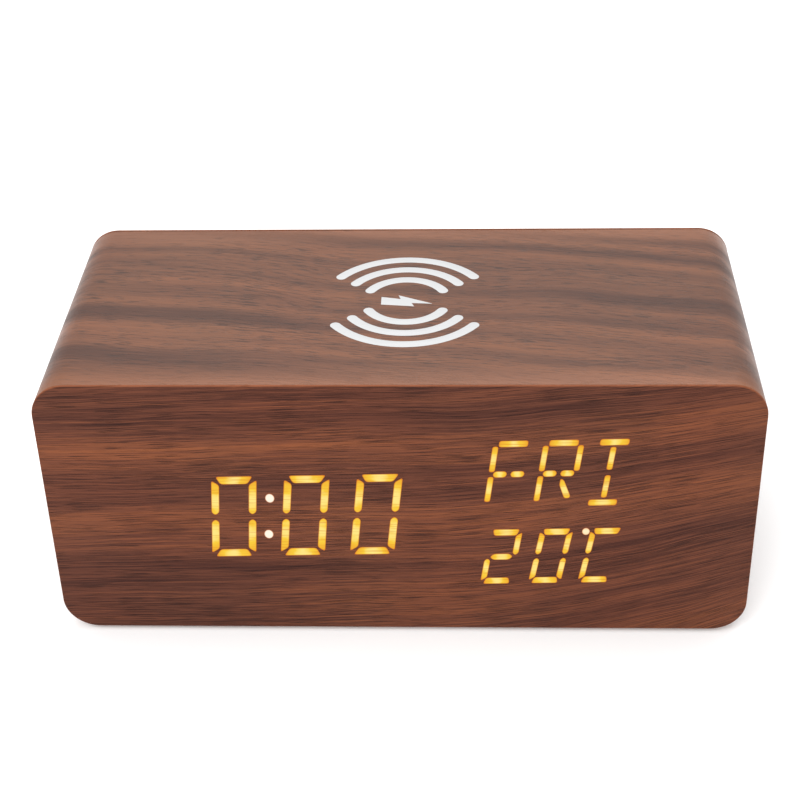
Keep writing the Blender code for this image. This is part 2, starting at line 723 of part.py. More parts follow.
def make_temp_sensor():
    """A bead thermistor on two leads, behind the vents."""
    bead_r, bead_y = 1.2 * MM, ON_BOARD + 5.2 * MM
    steps = 6
    profile = [
        (bead_r * math.sin(math.pi * k / steps), bead_y - bead_r * math.cos(math.pi * k / steps))
        for k in range(steps + 1)
    ]
    profile[0] = (0, profile[0][1])
    profile[-1] = (0, profile[-1][1])
    bead = turned("temp_sensor", profile, "black_plastic", steps=8, location=(VENT_X, 0, LOWER_ROW))

    def leads(bm):
        for side in (-1, 1):
            lead = moved(circle(0.25 * MM, 6), side * 0.6 * MM, 0)
            add_prism(bm, lead, ON_BOARD, bead_y)

    join(bead, leads, location=(VENT_X, 0, LOWER_ROW))


def make_buttons():
    """Three round buttons, each over a small push switch on the control board."""
    flange_low, flange_high = PANEL_Y - 1.2 * MM, PANEL_Y - GAP
    face = REAR_Y - GAP
    for name, x in BUTTON_X.items():
        spot = (x, 0, UPPER_ROW)
        profile = [
            (0, PLUNGER_TIP + 0.2 * MM),
            (STEM_R, PLUNGER_TIP + 0.2 * MM),
            (STEM_R, flange_low),
            (BUTTON_FLANGE_R, flange_low),
            (BUTTON_FLANGE_R, flange_high),
            (BUTTON_R, flange_high),
            (BUTTON_R, face - 0.5 * MM),
            (BUTTON_R - 0.15 * MM, face - 0.15 * MM),
            (BUTTON_R - 0.5 * MM, face),
            (0, face - 0.25 * MM),
        ]
        turned(f"{name}_button", profile, "black_plastic", steps=20, location=spot)

        body = prism(
            f"{name}_switch",
            rounded_rect(TACT_SIDE, TACT_SIDE, 0.5 * MM, 1),
            ON_BOARD,
            ON_BOARD + TACT_H,
            "black_plastic",
            location=spot,
        )
        bore = circle(PLUNGER_BORE_R, 12)
        floor = ON_BOARD + TACT_H - 1.4 * MM
        cut(body, lambda bm: add_prism(bm, bore, floor, ON_BOARD + TACT_H + BITE), location=spot)

        low = ON_BOARD + TACT_H - 0.6 * MM
        profile = [(0, low), (PLUNGER_R, low), (PLUNGER_R, PLUNGER_TIP), (0, PLUNGER_TIP)]
        turned(f"{name}_plunger", profile, "black_plastic", steps=12, location=spot)


def make_sound_switch():
    """A slide switch. Its knob rests at the -X end of its travel."""
    frame_top = ON_BOARD + 3.6 * MM
    middle = (SWITCH_X, 0, LOWER_ROW)
    box = rectangle(8.6 * MM, 4.2 * MM)
    slot = rectangle(5.2 * MM, 2.0 * MM)
    slot_low = frame_top - 2.4 * MM
    frame = prism("sound_switch_frame", box, ON_BOARD, frame_top, "steel", location=middle)
    cut(frame, lambda bm: add_prism(bm, slot, slot_low, frame_top + BITE), location=middle)

    knob_spot = (SWITCH_X - SWITCH_TRAVEL / 2, 0, LOWER_ROW)
    shoulder_low, shoulder_high = PANEL_Y - 1.2 * MM, PANEL_Y - GAP
    knob = prism(
        "sound_switch_knob",
        rectangle(12.4 * MM, 5 * MM),
        shoulder_low,
        shoulder_high,
        "black_plastic",
        location=knob_spot,
    )
    face = PANEL_REAR + 0.4 * MM

    def lever(bm):
        add_prism(bm, rectangle(1.6 * MM, 1.5 * MM), frame_top - 1.6 * MM, shoulder_low + 0.4 * MM)

    join(knob, lever, location=knob_spot)

    def thumb_piece(bm):
        add_prism(bm, rounded_rect(3.8 * MM, 2.6 * MM, 0.3 * MM, 2), shoulder_high - 0.4 * MM, face)

    join(knob, thumb_piece, location=knob_spot)

    def grip_grooves(bm):
        for side in (-1, 0, 1):
            groove = moved(rectangle(0.4 * MM, 4 * MM), side * 1.0 * MM, 0)
            add_prism(bm, groove, face - 0.3 * MM, face + BITE)

    cut(knob, grip_grooves, location=knob_spot)


def make_power_inlet():
    """The power socket: a steel shell and the insulator with its contact tongue."""
    spot = (USB_X, 0, LOWER_ROW)
    wall = 0.3 * MM
    width, height, round_r = 8.94 * MM, 3.2 * MM, 1.58 * MM
    low, high = ON_BOARD, PANEL_REAR - 0.5 * MM
    shell = prism(
        "inlet_shell", rounded_rect(width, height, round_r, 4), low, high, "steel", location=spot, smooth=True
    )
    inside = rounded_rect(width - 2 * wall, height - 2 * wall, round_r - wall, 4)
    cut(shell, lambda bm: add_prism(bm, inside, low - BITE, high + BITE), location=spot)
    inset = wall + TOUCH
    base = rounded_rect(width - 2 * inset, height - 2 * inset, round_r - inset, 3)
    core = prism("inlet_core", base, low + TOUCH, low + 2.2 * MM, "black_plastic", location=spot)
    tongue = rectangle(6.7 * MM, 0.7 * MM)
    join(core, lambda bm: add_prism(bm, tongue, low + 1 * MM, high - 0.9 * MM), location=spot)


# ---------------------------------------------------------------- wireless charger
def make_charger(carcass):
    over_coil = {"location": (0, COIL_Y, 0)}
    flat = {"axis": "Z", **over_coil}
    coil_top = POCKET_TOP - GAP
    coil_low = coil_top - COIL_T
    ring = circle(COIL_OUTER, 40)
    bore = circle(COIL_INNER, 24)
    coil = prism("charging_coil", ring, coil_low, coil_top, "copper", smooth=True, **flat)
    cut(coil, lambda bm: add_prism(bm, bore, coil_low - BITE, coil_top + BITE, "Z"), **over_coil)

    ferrite_top = coil_low - 0.2 * MM
    ferrite_low = ferrite_top - FERRITE_T
    prism("ferrite_sheet", circle(FERRITE_R, 32), ferrite_low, ferrite_top, "ferrite", **flat)

    tray_top = CAVITY_TOP - GAP
    tray_low = tray_top - TRAY_T
    outline = rounded_rect(TRAY_W, TRAY_D, 4 * MM, 3)
    tray = prism("coil_tray", outline, tray_low, tray_top, "white_plastic", **flat)
    plinth = circle(FERRITE_R + 0.5 * MM, 24)
    plinth_top = ferrite_low - 0.2 * MM
    join(tray, lambda bm: add_prism(bm, plinth, tray_low + 0.5 * MM, plinth_top, "Z"), **over_coil)
    board_top = tray_low - 1.8 * MM
    board_low = board_top - CHARGER_T

    def posts(bm):
        for sx in (-1, 1):
            for sy in (-1, 1):
                post = moved(circle(2 * MM, 8), sx * 17 * MM, sy * 13 * MM)
                add_prism(bm, post, board_top + TOUCH, tray_low + 0.5 * MM, "Z")

    join(tray, posts, **over_coil)

    def ear_holes(radius, low, high):
        def build(bm):
            for side in (-1, 1):
                add_prism(bm, moved(circle(radius, 8), side * TRAY_SCREW_X, 0), low, high, "Z")

        return build

    length = 5.0 * MM
    shoulder = tray_low - TOUCH
    cut(tray, ear_holes(1.3 * MM, tray_low - BITE, tray_top + BITE), **over_coil)
    cut(carcass, ear_holes(1.15 * MM, CAVITY_TOP - BITE, shoulder + length + GAP), **over_coil)
    for number, side in enumerate((-1, 1), 1):
        made = screw(
            f"tray_screw_{number}",
            2.1 * MM,
            1.4 * MM,
            1.0 * MM,
            length,
            2.4 * MM,
            location=(side * TRAY_SCREW_X, COIL_Y, shoulder),
        )
        made.rotation_euler = (-math.pi / 2, 0, 0)

    outline = rounded_rect(CHARGER_W, CHARGER_D, 1 * MM, 3)
    prism("charger_board", outline, board_low, board_top, "green_board", **flat)
    soldered = board_low - TOUCH
    chip = moved(rectangle(7 * MM, 7 * MM), 6 * MM, 2 * MM)
    prism("charger_chip", chip, soldered - 1.2 * MM, soldered, "black_plastic", **flat)
    choke = moved(rounded_rect(7.2 * MM, 7.2 * MM, 1.8 * MM, 4), -7 * MM, -5 * MM)
    prism("charger_choke", choke, soldered - 4 * MM, soldered, "ferrite", **flat)
    return board_low


# ---------------------------------------------------------------- internal leads
def smooth_path(route, per_span=3):
    """Points on a smooth curve (Catmull-Rom) through the route's own points."""
    points = [Vector(p) for p in route]
    points = [2 * points[0] - points[1], *points, 2 * points[-1] - points[-2]]
    path = []
    for a, b, c, d in zip(points, points[1:], points[2:], points[3:]):
        linear = c - a
        square = 2 * a - 5 * b + 4 * c - d
        cubic = 3 * b - a - 3 * c + d
        for t in (step / per_span for step in range(per_span)):
            path.append(b + 0.5 * (linear * t + square * t**2 + cubic * t**3))
    return [*path, points[-2]]


def lead(name, route, radius, finish):
    curve = bpy.data.curves.new(name, "CURVE")
    curve.dimensions = "3D"
    curve.bevel_depth = radius
    curve.bevel_resolution = 1
    curve.use_fill_caps = True
    path = smooth_path(route)
    spline = curve.splines.new("POLY")
    spline.points.add(len(path) - 1)
    for point, place_at in zip(spline.points, path):
        point.co = (*place_at, 1.0)
    curve.materials.append(material(finish))
    made = bpy.data.objects.new(name, curve)
    bpy.context.scene.collection.objects.link(made)


def make_leads(charger_low):
    """Two power leads from the control board to the charger board, side by side, and the display's ribbon."""
    start_y = UNDER_BOARD - GAP
    route = [
        (-44, start_y / MM, -8),
        (-44, start_y / MM - 5, -7.6),
        (-43, start_y / MM - 11, -1),
        (-35, start_y / MM - 15, 9),
        (-22, start_y / MM - 16, 15),
        (-15, start_y / MM - 14, 17.5),
        (-14, start_y / MM - 14, (charger_low - GAP - MID_Z) / MM),
    ]
    for name, finish, beside in (("power_lead_red", "red_insulation", 0), ("power_lead_black", "rubber", 1)):
        aside = Vector((2.0, -1.6, -1.2)) * beside
        points = [(Vector(spot) + aside) * MM + Vector((0, 0, MID_Z)) for spot in route]
        points[0].y = start_y
        points[-1].z = charger_low - GAP
        lead(name, points, 0.7 * MM, finish)
    make_ribbon()


def make_ribbon():
    """A flat cable that hangs in a slack bow between the display's socket and the control board's."""
    half_width, thick, sag, spans = 6 * MM, 0.9 * MM, 9 * MM, 20
    start = DISPLAY_BOARD_Y + BOARD_T + TOUCH + SOCKET_FLOOR + GAP
    end = UNDER_BOARD - SOCKET_FLOOR - GAP
    level = MID_Z - 9.1 * MM
    middle = []
    for k in range(spans + 1):
        share = k / spans
        eased = min(max((share - 0.15) / 0.7, 0), 1)
        middle.append((start + share * (end - start), level - sag * math.sin(math.pi * eased) ** 2))
    upper = [(y, z + thick / 2) for y, z in middle]
    lower = [(y, z - thick / 2) for y, z in reversed(middle)]
    outline = upper + lower
    spot = (20 * MM, 0, 0)
    prism("ribbon_cable", outline, -half_width, half_width, "grey_insulation", axis="X", location=spot)


def main():
    for old in list(bpy.data.objects):
        bpy.data.objects.remove(old)
    carcass = make_body()
    make_feet()
    make_display(carcass)
    make_rear_panel(carcass)
    make_battery()
    make_control_board()
    make_buttons()
    make_sound_switch()
    make_power_inlet()
    charger_low = make_charger(carcass)
    make_leads(charger_low)


main()
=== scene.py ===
"""Wooden alarm clock with a wireless charging top: its finished pieces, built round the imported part.

Metres, +Z up, display towards -Y. Every new piece is a closed surface worked out with numpy.
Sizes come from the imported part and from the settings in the 3D view's sidebar.
"""

import math

import bpy
import numpy as np
from bpy.props import FloatProperty, FloatVectorProperty, PointerProperty
from mathutils import Matrix, Vector
from mathutils.geometry import delaunay_2d_cdt


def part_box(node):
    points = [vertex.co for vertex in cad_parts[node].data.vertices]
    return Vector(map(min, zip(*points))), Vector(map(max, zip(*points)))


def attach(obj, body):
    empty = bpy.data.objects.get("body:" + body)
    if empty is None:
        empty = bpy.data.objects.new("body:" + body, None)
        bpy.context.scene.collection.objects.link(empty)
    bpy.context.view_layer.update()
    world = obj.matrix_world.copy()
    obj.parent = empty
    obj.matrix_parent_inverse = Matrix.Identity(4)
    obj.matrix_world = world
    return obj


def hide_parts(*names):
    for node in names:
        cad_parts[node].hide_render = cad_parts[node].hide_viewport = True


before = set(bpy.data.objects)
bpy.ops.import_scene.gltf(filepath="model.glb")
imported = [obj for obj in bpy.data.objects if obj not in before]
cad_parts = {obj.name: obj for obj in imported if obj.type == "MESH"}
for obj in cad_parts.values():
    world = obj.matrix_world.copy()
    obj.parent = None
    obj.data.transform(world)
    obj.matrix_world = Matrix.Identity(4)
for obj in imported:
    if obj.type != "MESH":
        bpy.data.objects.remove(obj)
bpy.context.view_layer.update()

bl_info = {
    "name": "Wooden alarm clock",
    "version": (1, 0, 0),
    "blender": (4, 5, 0),
    "location": "View3D > Sidebar > Alarm clock",
    "description": "Builds a wooden alarm clock with a light display and a wireless charging top",
    "category": "Object",
}

MM = 0.001

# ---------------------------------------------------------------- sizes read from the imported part


def extent(node):
    """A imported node's lowest corner, highest corner and middle, in metres."""
    low, high = (np.array(corner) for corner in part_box(node))
    return low, high, (low + high) / 2


BODY_LOW, BODY_HIGH, BODY_MID = extent("front_veneer")
BODY_W, BODY_H = (BODY_HIGH - BODY_LOW)[[0, 2]]
MID_Z = BODY_MID[2]
TOP_Z = BODY_HIGH[2]
FRONT_Y = BODY_LOW[1]
REAR_Y = extent("rear_veneer")[1][1]
PANEL_LOW, PANEL_HIGH, _ = extent("rear_panel")
PANEL_REAR = PANEL_HIGH[1]
PANEL_T = 2.0 * MM
PANEL_Y = PANEL_REAR - PANEL_T
BOARD_LOW, BOARD_HIGH, _ = extent("control_board")

CORNER_R = 7.5 * MM
VENEER_T = 0.6 * MM
WRAP_T = 0.4 * MM
SKIN_SET = 0.03 * MM  # how far the wood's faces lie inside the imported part's box
PRINT_SET = 0.01 * MM  # the same for what stands on the wood
GAP = 0.3 * MM

# the display module sits very slightly askew in the body
TILT = math.radians(1.3)
MODULE_X, MODULE_Z = -4 * MM, 33.5 * MM


def shade(code):
    """A colour written as RRGGBB, as linear red, green and blue: the screen's curve undone for each."""
    values = np.array([int(code[k : k + 2], 16) for k in (0, 2, 4)]) / 255
    linear = np.where(values <= 0.04045, values / 12.92, ((values + 0.055) / 1.055) ** 2.4)
    return tuple(float(value) for value in linear)


# ---------------------------------------------------------------- outlines, anticlockwise in two axes


def rounded_rect(width, height, radius, steps=8, flats=1):
    """A rounded rectangle: a quarter turn about each corner's centre, and straight runs in equal parts."""
    half = np.array([width, height]) / 2 - radius
    turn = np.radians(np.linspace(0, 90, steps + 1))
    corners = []
    for quarter, sign in enumerate(((1, 1), (-1, 1), (-1, -1), (1, -1))):
        angle = turn + quarter * math.pi / 2
        corners.append(half * sign + radius * np.stack([np.cos(angle), np.sin(angle)], 1))
    share = np.linspace(0, 1, flats, endpoint=False)[1:, None]
    runs = [a[-1] + share * (b[0] - a[-1]) for a, b in zip(corners, corners[1:] + corners[:1])]
    return np.concatenate([part for pair in zip(corners, runs) for part in pair])


def circle(radius, steps=48):
    """Points at equal angles about (0, 0), all at the radius from it."""
    turn = np.linspace(0, math.tau, steps, endpoint=False)
    return radius * np.stack([np.cos(turn), np.sin(turn)], 1)


def polygon(*corners):
    """The corners in millimetres as an outline, taken anticlockwise whichever way they are given."""
    outline = np.array(corners, float) * MM
    after = np.roll(outline, -1, 0)
    area = (outline[:, 0] * after[:, 1] - outline[:, 1] * after[:, 0]).sum()
    return outline if area > 0 else outline[::-1]


def rectangle(width, height):
    """A rectangle about (0, 0), with its sides in metres."""
    return np.array([(1, 1), (-1, 1), (-1, -1), (1, -1)]) * (width / 2, height / 2)


def inset(outline, distance):
    """The outline drawn in: each corner moves along the bisector of its two edges, so that both edges
    shift by the distance. A negative distance widens it."""
    bisector = 0
    for edge in (outline - np.roll(outline, 1, 0), np.roll(outline, -1, 0) - outline):
        inward = np.stack([-edge[:, 1], edge[:, 0]], 1)
        bisector = bisector + inward / np.linalg.norm(edge, axis=1, keepdims=True)
    return outline + distance * 2 * bisector / (bisector**2).sum(1, keepdims=True)


def softened(outline, radius, steps=3):
    """The outline with its corners rounded: a parabola between a point before and a point after each
    corner, at the radius from it or just short of halfway along its edge."""
    ends = []
    for edge in (np.roll(outline, 1, 0) - outline, np.roll(outline, -1, 0) - outline):
        share = np.minimum(radius / np.linalg.norm(edge, axis=1, keepdims=True), 0.45)
        ends.append(outline + edge * share)
    start, end = ends
    t = np.linspace(0, 1, steps + 1)[None, :, None]
    curve = (1 - t) ** 2 * start[:, None] + 2 * t * (1 - t) * outline[:, None] + t**2 * end[:, None]
    return curve.reshape(-1, 2)


def mirrored(outline, sx, sy):
    """The outline times a sign along each axis, put back in anticlockwise order."""
    turned_over = outline * (sx, sy)
    return turned_over[::-1] if sx * sy < 0 else turned_over


def ring(outline, level):
    """The outline's points with one height, as a row of a surface."""
    return np.column_stack([outline, np.full(len(outline), level)])


def soft_edge(radius, steps=3):
    """A quarter round from a wall up to the face over it, as (how far in, how far down)."""
    turn = np.linspace(0, math.pi / 2, steps + 1)
    return list(zip(radius * (1 - np.cos(turn)), radius * (1 - np.sin(turn))))


# ---------------------------------------------------------------- where a shape stands


def facing(towards, origin=(0, 0, 0), turn=0.0):
    """The directions that a shape's two outline axes and its height take, and its origin.
    turn is anticlockwise as seen with X to the right and the other outline axis up."""
    u, v, w = {
        "rear": ((1, 0, 0), (0, 0, 1), (0, 1, 0)),
        "front": ((1, 0, 0), (0, 0, 1), (0, -1, 0)),
        "top": ((1, 0, 0), (0, 1, 0), (0, 0, 1)),
        "base": ((1, 0, 0), (0, 1, 0), (0, 0, -1)),
    }[towards]
    u, v = np.array(u, float), np.array(v, float)
    c, s = math.cos(turn), math.sin(turn)
    return np.array([c * u + s * v, c * v - s * u, w]), np.array(origin, float)


def module(towards="rear"):
    """The display module's own frame, its origin at the module's middle in the plane of the body's centre."""
    return facing(towards, (MODULE_X, 0, MODULE_Z), TILT)


# ---------------------------------------------------------------- surfaces


def weave(grid):
    """Quads between each row of a grid of point numbers and the next, with its columns closed up."""
    after = np.roll(grid, -1, axis=1)
    return np.stack([grid[:-1], after[:-1], after[1:], grid[1:]], -1).reshape(-1, 4)


def fill(loops):
    """Triangles over the flat region inside the first loop and outside the rest (constrained Delaunay)."""
    points = np.concatenate(loops) / MM
    starts = np.cumsum([0] + [len(loop) for loop in loops[:-1]])
    runs = [(np.arange(len(loop)) + start).tolist() for start, loop in zip(starts, loops)]
    runs[1:] = [run[::-1] for run in runs[1:]]
    found = delaunay_2d_cdt([Vector(p) for p in points], [], runs, 2, 1e-7)
    triangles = np.array([origin[0] for origin in found[3]])[np.array(found[2])]
    a, b, c = (points[triangles[:, k]] for k in range(3))
    turned_over = (b - a)[:, 0] * (c - a)[:, 1] < (b - a)[:, 1] * (c - a)[:, 0]
    triangles[turned_over] = triangles[turned_over][:, ::-1]
    return triangles


class Shells:
    """Closed shells gathered into one mesh. Every point keeps three numbers for its finish to read."""

    def __init__(self):
        self.points, self.marks, self.faces, self.smooth, self.count = [], [], [], [], 0

    def add(self, points, smooth, flat=(), at=None, marks=None):
        """One closed shell in the coordinates of at, turned so that its faces point out. smooth and flat
        are lists of arrays of point numbers, one row a face."""
        directions, origin = at or facing("rear")
        points = points.reshape(-1, 3) @ directions + origin
        faces = [np.atleast_2d(f) for f in (*smooth, *flat)]
        volume = 0.0
        for f in faces:
            a, b, c = (points[f[:, k]] - points[0] for k in (slice(0, 1), slice(1, -1), slice(2, None)))
            volume += (a * np.cross(b, c)).sum()
        for number, f in enumerate(faces):
            self.faces.append((f[:, ::-1] if volume < 0 else f) + self.count)
            self.smooth.append(np.full(len(f), number < len(smooth)))
        self.points.append(points)
        self.marks.append(np.zeros((len(points), 3)) if marks is None else marks.reshape(-1, 3))
        self.count += len(points)
        return self

    def loft(self, rings, at=None, marks=None, closed=False):
        """A surface carried from ring to ring. Its two ends are filled, or joined if closed."""
        rings = np.asarray(rings)
        grid = np.arange(rings.shape[0] * rings.shape[1]).reshape(rings.shape[:2])
        if closed:
            return self.add(rings, [weave(np.vstack([grid, grid[:1]]))], [], at, marks)
        return self.add(rings, [weave(grid)], [grid[0][::-1], grid[-1]], at, marks)

    def turn(self, profile, at=None, steps=48):
        """A solid turned about its height axis from (radius, level) pairs: each is a circle, and the first
        and the last are points on the axis."""
        profile = np.asarray(profile, float)
        rings = [ring(circle(r, steps), level) for r, level in profile[1:-1]]
        poles = [[(0, 0, profile[0, 1])], [(0, 0, profile[-1, 1])]]
        grid = np.arange(len(rings) * steps).reshape(-1, steps)
        first, last = (np.full(steps, len(rings) * steps + k) for k in (0, 1))
        fans = [
            np.stack([first, np.roll(grid[0], -1), grid[0]], 1),
            np.stack([last, grid[-1], np.roll(grid[-1], -1)], 1),
        ]
        return self.add(np.concatenate([*rings, *poles]), [weave(grid), *fans], [], at)

    def prism(self, outline, low, high, soft=0.0, at=None):
        """An outline carried straight from low to high, each end drawn in by a quarter round."""
        edge = soft_edge(soft) if soft else [(0.0, 0.0)]
        rings = [ring(inset(outline, i), low + d) for i, d in reversed(edge)]
        rings += [ring(inset(outline, i), high - d) for i, d in edge]
        return self.loft(rings, at)

    def plate(self, outline, holes, low, high, soft, at=None):
        """A sheet with openings. Each hole is an outline and the steps of its wall, as (how far drawn in,
        level) from the bottom up; one that starts above the sheet's underside has a floor there.
        Rims are quarter rounds, and the first mark is 1 on a wall and falls to 0 over the rim."""
        rim = [(i, high - d, 1 - i / soft) for i, d in soft_edge(soft)]
        nick = 0.3 * soft
        walls = [[(outline, nick, low, 0), (outline, 0, low + nick, 1)]]
        walls[0] += [(outline, i, level, worn) for i, level, worn in rim]
        for shape, steps in holes:
            wall = [(shape, i, level, 1) for i, level in steps]
            if steps[0][1] == low:
                i = steps[0][0]
                wall[:1] = [(shape, i - nick, low, 0), (shape, i, low + nick, 1)]
            walls.append(wall + [(shape, -i, level, worn) for i, level, worn in rim])
        points, marks, grids, start = [], [], [], 0
        for wall in walls:
            points += [ring(inset(shape, i), level) for shape, i, level, _ in wall]
            marks += [np.tile((worn, 0, 0), (len(shape), 1)) for shape, _, _, worn in wall]
            size = len(wall) * len(wall[0][0])
            grids.append(np.arange(start, start + size).reshape(len(wall), -1))
            start += size
        points = np.concatenate(points)
        through = [g for g in grids if points[g[0, 0], 2] == low]
        floors = [g[0] for g in grids if points[g[0, 0], 2] != low]
        top, under = (np.concatenate(rows) for rows in ([g[-1] for g in grids], [g[0] for g in through]))
        flat = [top[fill([points[g[-1], :2] for g in grids])]]
        flat += [under[fill([points[g[0], :2] for g in through])][:, ::-1], *floors]
        smooth = [weave(grids[0])] + [weave(g)[:, ::-1] for g in grids[1:]]
        return self.add(points, smooth, flat, at, np.concatenate(marks))

    def tube(self, path, radius, sides=10, at=None):
        """A round wire: a circle at each point of a path, square to it. Its sideways direction is carried
        from point to point and made square again, so that it doesn't twist."""
        path = np.asarray(path, float)
        ahead = np.gradient(path, axis=0)
        ahead /= np.linalg.norm(ahead, axis=1, keepdims=True)
        side = np.cross(ahead[0], np.eye(3)[np.argmin(np.abs(ahead[0]))])
        sideways = []
        for direction in ahead:
            side = side - direction * (side @ direction)
            side = side / np.linalg.norm(side)
            sideways.append(side)
        sideways = np.array(sideways)
        up = np.cross(ahead, sideways)
        around = circle(radius, sides)[None]
        rings = path[:, None] + around[..., :1] * sideways[:, None] + around[..., 1:] * up[:, None]
        return self.loft(rings, at)

    def build(self, name, finish, body, slot, replaces=()):
        """The gathered shells as one named piece that rides on a body. Edges sharper than 35 degrees show."""
        mesh = bpy.data.meshes.new(name)
        points = np.concatenate(self.points)
        sizes = np.concatenate([np.full(len(f), f.shape[1]) for f in self.faces])
        corners = np.concatenate([f.ravel() for f in self.faces])
        mesh.vertices.add(len(points))
        mesh.vertices.foreach_set("co", points.astype(np.float32).ravel())
        mesh.loops.add(len(corners))
        mesh.loops.foreach_set("vertex_index", corners.astype(np.int32))
        mesh.polygons.add(len(sizes))
        mesh.polygons.foreach_set("loop_start", (np.cumsum(sizes) - sizes).astype(np.int32))
        mesh.polygons.foreach_set("use_smooth", np.concatenate(self.smooth))
        mesh.update(calc_edges=True)
        mesh.set_sharp_from_angle(angle=math.radians(35))
        layer = mesh.attributes.new("marks", "FLOAT_VECTOR", "POINT")
        layer.data.foreach_set("vector", np.concatenate(self.marks).astype(np.float32).ravel())
        mesh.materials.append(finish)
        piece = bpy.data.objects.new(name, mesh)
        bpy.context.scene.collection.objects.link(piece)
        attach(piece, body)
        if replaces:
            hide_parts(*replaces)
        return piece


# ---------------------------------------------------------------- finishes


class Finish:
    """A Principled material, wired up node by node."""

    def __init__(self, name, roughness=0.5, metallic=0.0, specular=0.5):
        self.material = bpy.data.materials.new(name)
        self.material.use_nodes = True
        self.tree = self.material.node_tree
        self.shader = self.tree.nodes["Principled BSDF"]
        self.put(self.shader, {"Roughness": roughness, "Metallic": metallic, "Specular IOR Level": specular})

    def put(self, node, values):
        """Sets or links each named or numbered input of a node."""
        for key, value in values.items():
            if isinstance(value, bpy.types.NodeSocket):
                self.tree.links.new(value, node.inputs[key])
            elif isinstance(value, tuple) and len(value) == 3 and node.inputs[key].type == "RGBA":
                node.inputs[key].default_value = (*value, 1.0)
            else:
                node.inputs[key].default_value = value
        return node

    def node(self, kind, values=None, **settings):
        """A new node with these settings and inputs."""
        made = self.tree.nodes.new(kind)
        for key, value in settings.items():
            setattr(made, key, value)
        return self.put(made, values or {})

    def coords(self):
        """Object coordinates in millimetres."""
        place = self.node("ShaderNodeTexCoord").outputs["Object"]
        scaled = self.node("ShaderNodeVectorMath", {0: place, "Scale": 1 / MM}, operation="SCALE")
        return scaled.outputs[0]

    def mark(self):
        """The three numbers kept at each point."""
        return self.split(self.node("ShaderNodeAttribute", attribute_name="marks").outputs["Vector"])

    def split(self, vector):
        """The three parts of a vector."""
        return self.node("ShaderNodeSeparateXYZ", {0: vector}).outputs

    def join(self, x=0.0, y=0.0, z=0.0):
        """A vector from its three parts."""
        return self.node("ShaderNodeCombineXYZ", {0: x, 1: y, 2: z}).outputs[0]

    def calc(self, operation, *values, clamp=False):
        """Arithmetic on one, two or three values."""
        values = dict(enumerate(values))
        return self.node("ShaderNodeMath", values, operation=operation, use_clamp=clamp).outputs[0]

    def noise(self, vector, scale=1.0, detail=2.0, roughness=0.5, distortion=0.0):
        """Smooth noise between 0 and 1, mostly near a half."""
        values = {"Vector": vector, "Scale": scale, "Detail": detail}
        values |= {"Roughness": roughness, "Distortion": distortion}
        return self.node("ShaderNodeTexNoise", values).outputs[0]

    def stretched(self, along, across, rates, seed=0.0, **settings):
        """Noise over two distances in millimetres, each times its own rate. The seed picks a slice of it."""
        place = [self.calc("MULTIPLY", value, rate) for value, rate in zip((along, across), rates)]
        return self.noise(self.join(*place, seed), **settings)

    def spread(self, value, low, high, to_low=0.0, to_high=1.0):
        """value moved from one range to another, and held inside it."""
        values = {0: value, 1: low, 2: high, 3: to_low, 4: to_high}
        return self.node("ShaderNodeMapRange", values, clamp=True).outputs[0]

    def ramp(self, value, stops):
        """Colours or greys along a value. stops are (place, colour or grey)."""
        made = self.node("ShaderNodeValToRGB", {0: value})
        elements = made.color_ramp.elements
        elements.remove(elements[-1])
        elements[0].position = stops[0][0]
        for number, (place, colour) in enumerate(stops):
            element = elements.new(place) if number else elements[0]
            element.color = (*(colour if isinstance(colour, tuple) else (colour,) * 3), 1.0)
        return made.outputs[0]

    def mix(self, share, a, b, blend="MIX"):
        """A colour that goes from a to b as share goes from 0 to 1."""
        values = {0: share, 6: a, 7: b}
        return self.node("ShaderNodeMix", values, data_type="RGBA", blend_type=blend).outputs[2]

    def bump(self, height, depth):
        """A surface direction tipped by a relief: its height from 0 to 1, times the depth in metres."""
        return self.node("ShaderNodeBump", {"Height": height, "Distance": depth}).outputs[0]

    def done(self, colour=None, roughness=None, normal=None, **sockets):
        """The material, with these results wired into its shader."""
        values = {"Base Color": colour, "Roughness": roughness, "Normal": normal}
        self.put(self.shader, {key: value for key, value in values.items() if value is not None})
        self.put(self.shader, {key.replace("_", " "): value for key, value in sockets.items()})
        return self.material


def kept(make):
    """Makes a finish once and shares it after that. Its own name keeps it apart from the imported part's."""

    def once(*options):
        name = "_".join(["clock", make.__name__, *map(str, options)])
        return bpy.data.materials.get(name) or make(name, *options)

    return once


def colours():
    """The colours set in the sidebar."""
    return bpy.context.scene.alarm_clock_colours


def sizes():
    """The sizes and light levels set in the sidebar."""
    return bpy.context.scene.alarm_clock_sizes


def figure(wood, along, across, bands, streaks):
    """Walnut figure as one value, 0 dark to 1 light: broad bands across the grain, plus noises that are
    stretched along it. along and across are in millimetres, bands is the grey of the broad bands, and
    streaks gives each noise's length, width and strength. Also gives across, pushed aside by a slow noise."""
    wander = wood.stretched(along, across, (0.022, 0.05))
    shifted = wood.calc("MULTIPLY_ADD", wander, 3.0, across)
    value = bands
    for length, width, strength in streaks:
        rates = (1 / length, 1 / width)
        streak = wood.stretched(along, shifted, rates, length, detail=3, roughness=0.6)
        centred = wood.calc("MULTIPLY_ADD", streak, strength, -0.5 * strength)
        value = wood.calc("ADD", value, centred)
    return value, shifted


def pores(wood, along, across, length, width):
    """Dark dashes along the grain: a noise stretched to their length and width in millimetres and cut off
    high, with more of them in some places."""
    dash = wood.stretched(along, across, (1 / length, 1 / width), detail=2)
    patch = wood.stretched(along, across, (1 / 30, 1 / 6), 3.0)
    limit = wood.spread(patch, 0.35, 0.65, 0.6, 0.51)
    return wood.spread(wood.calc("SUBTRACT", dash, limit), 0.0, 0.07)


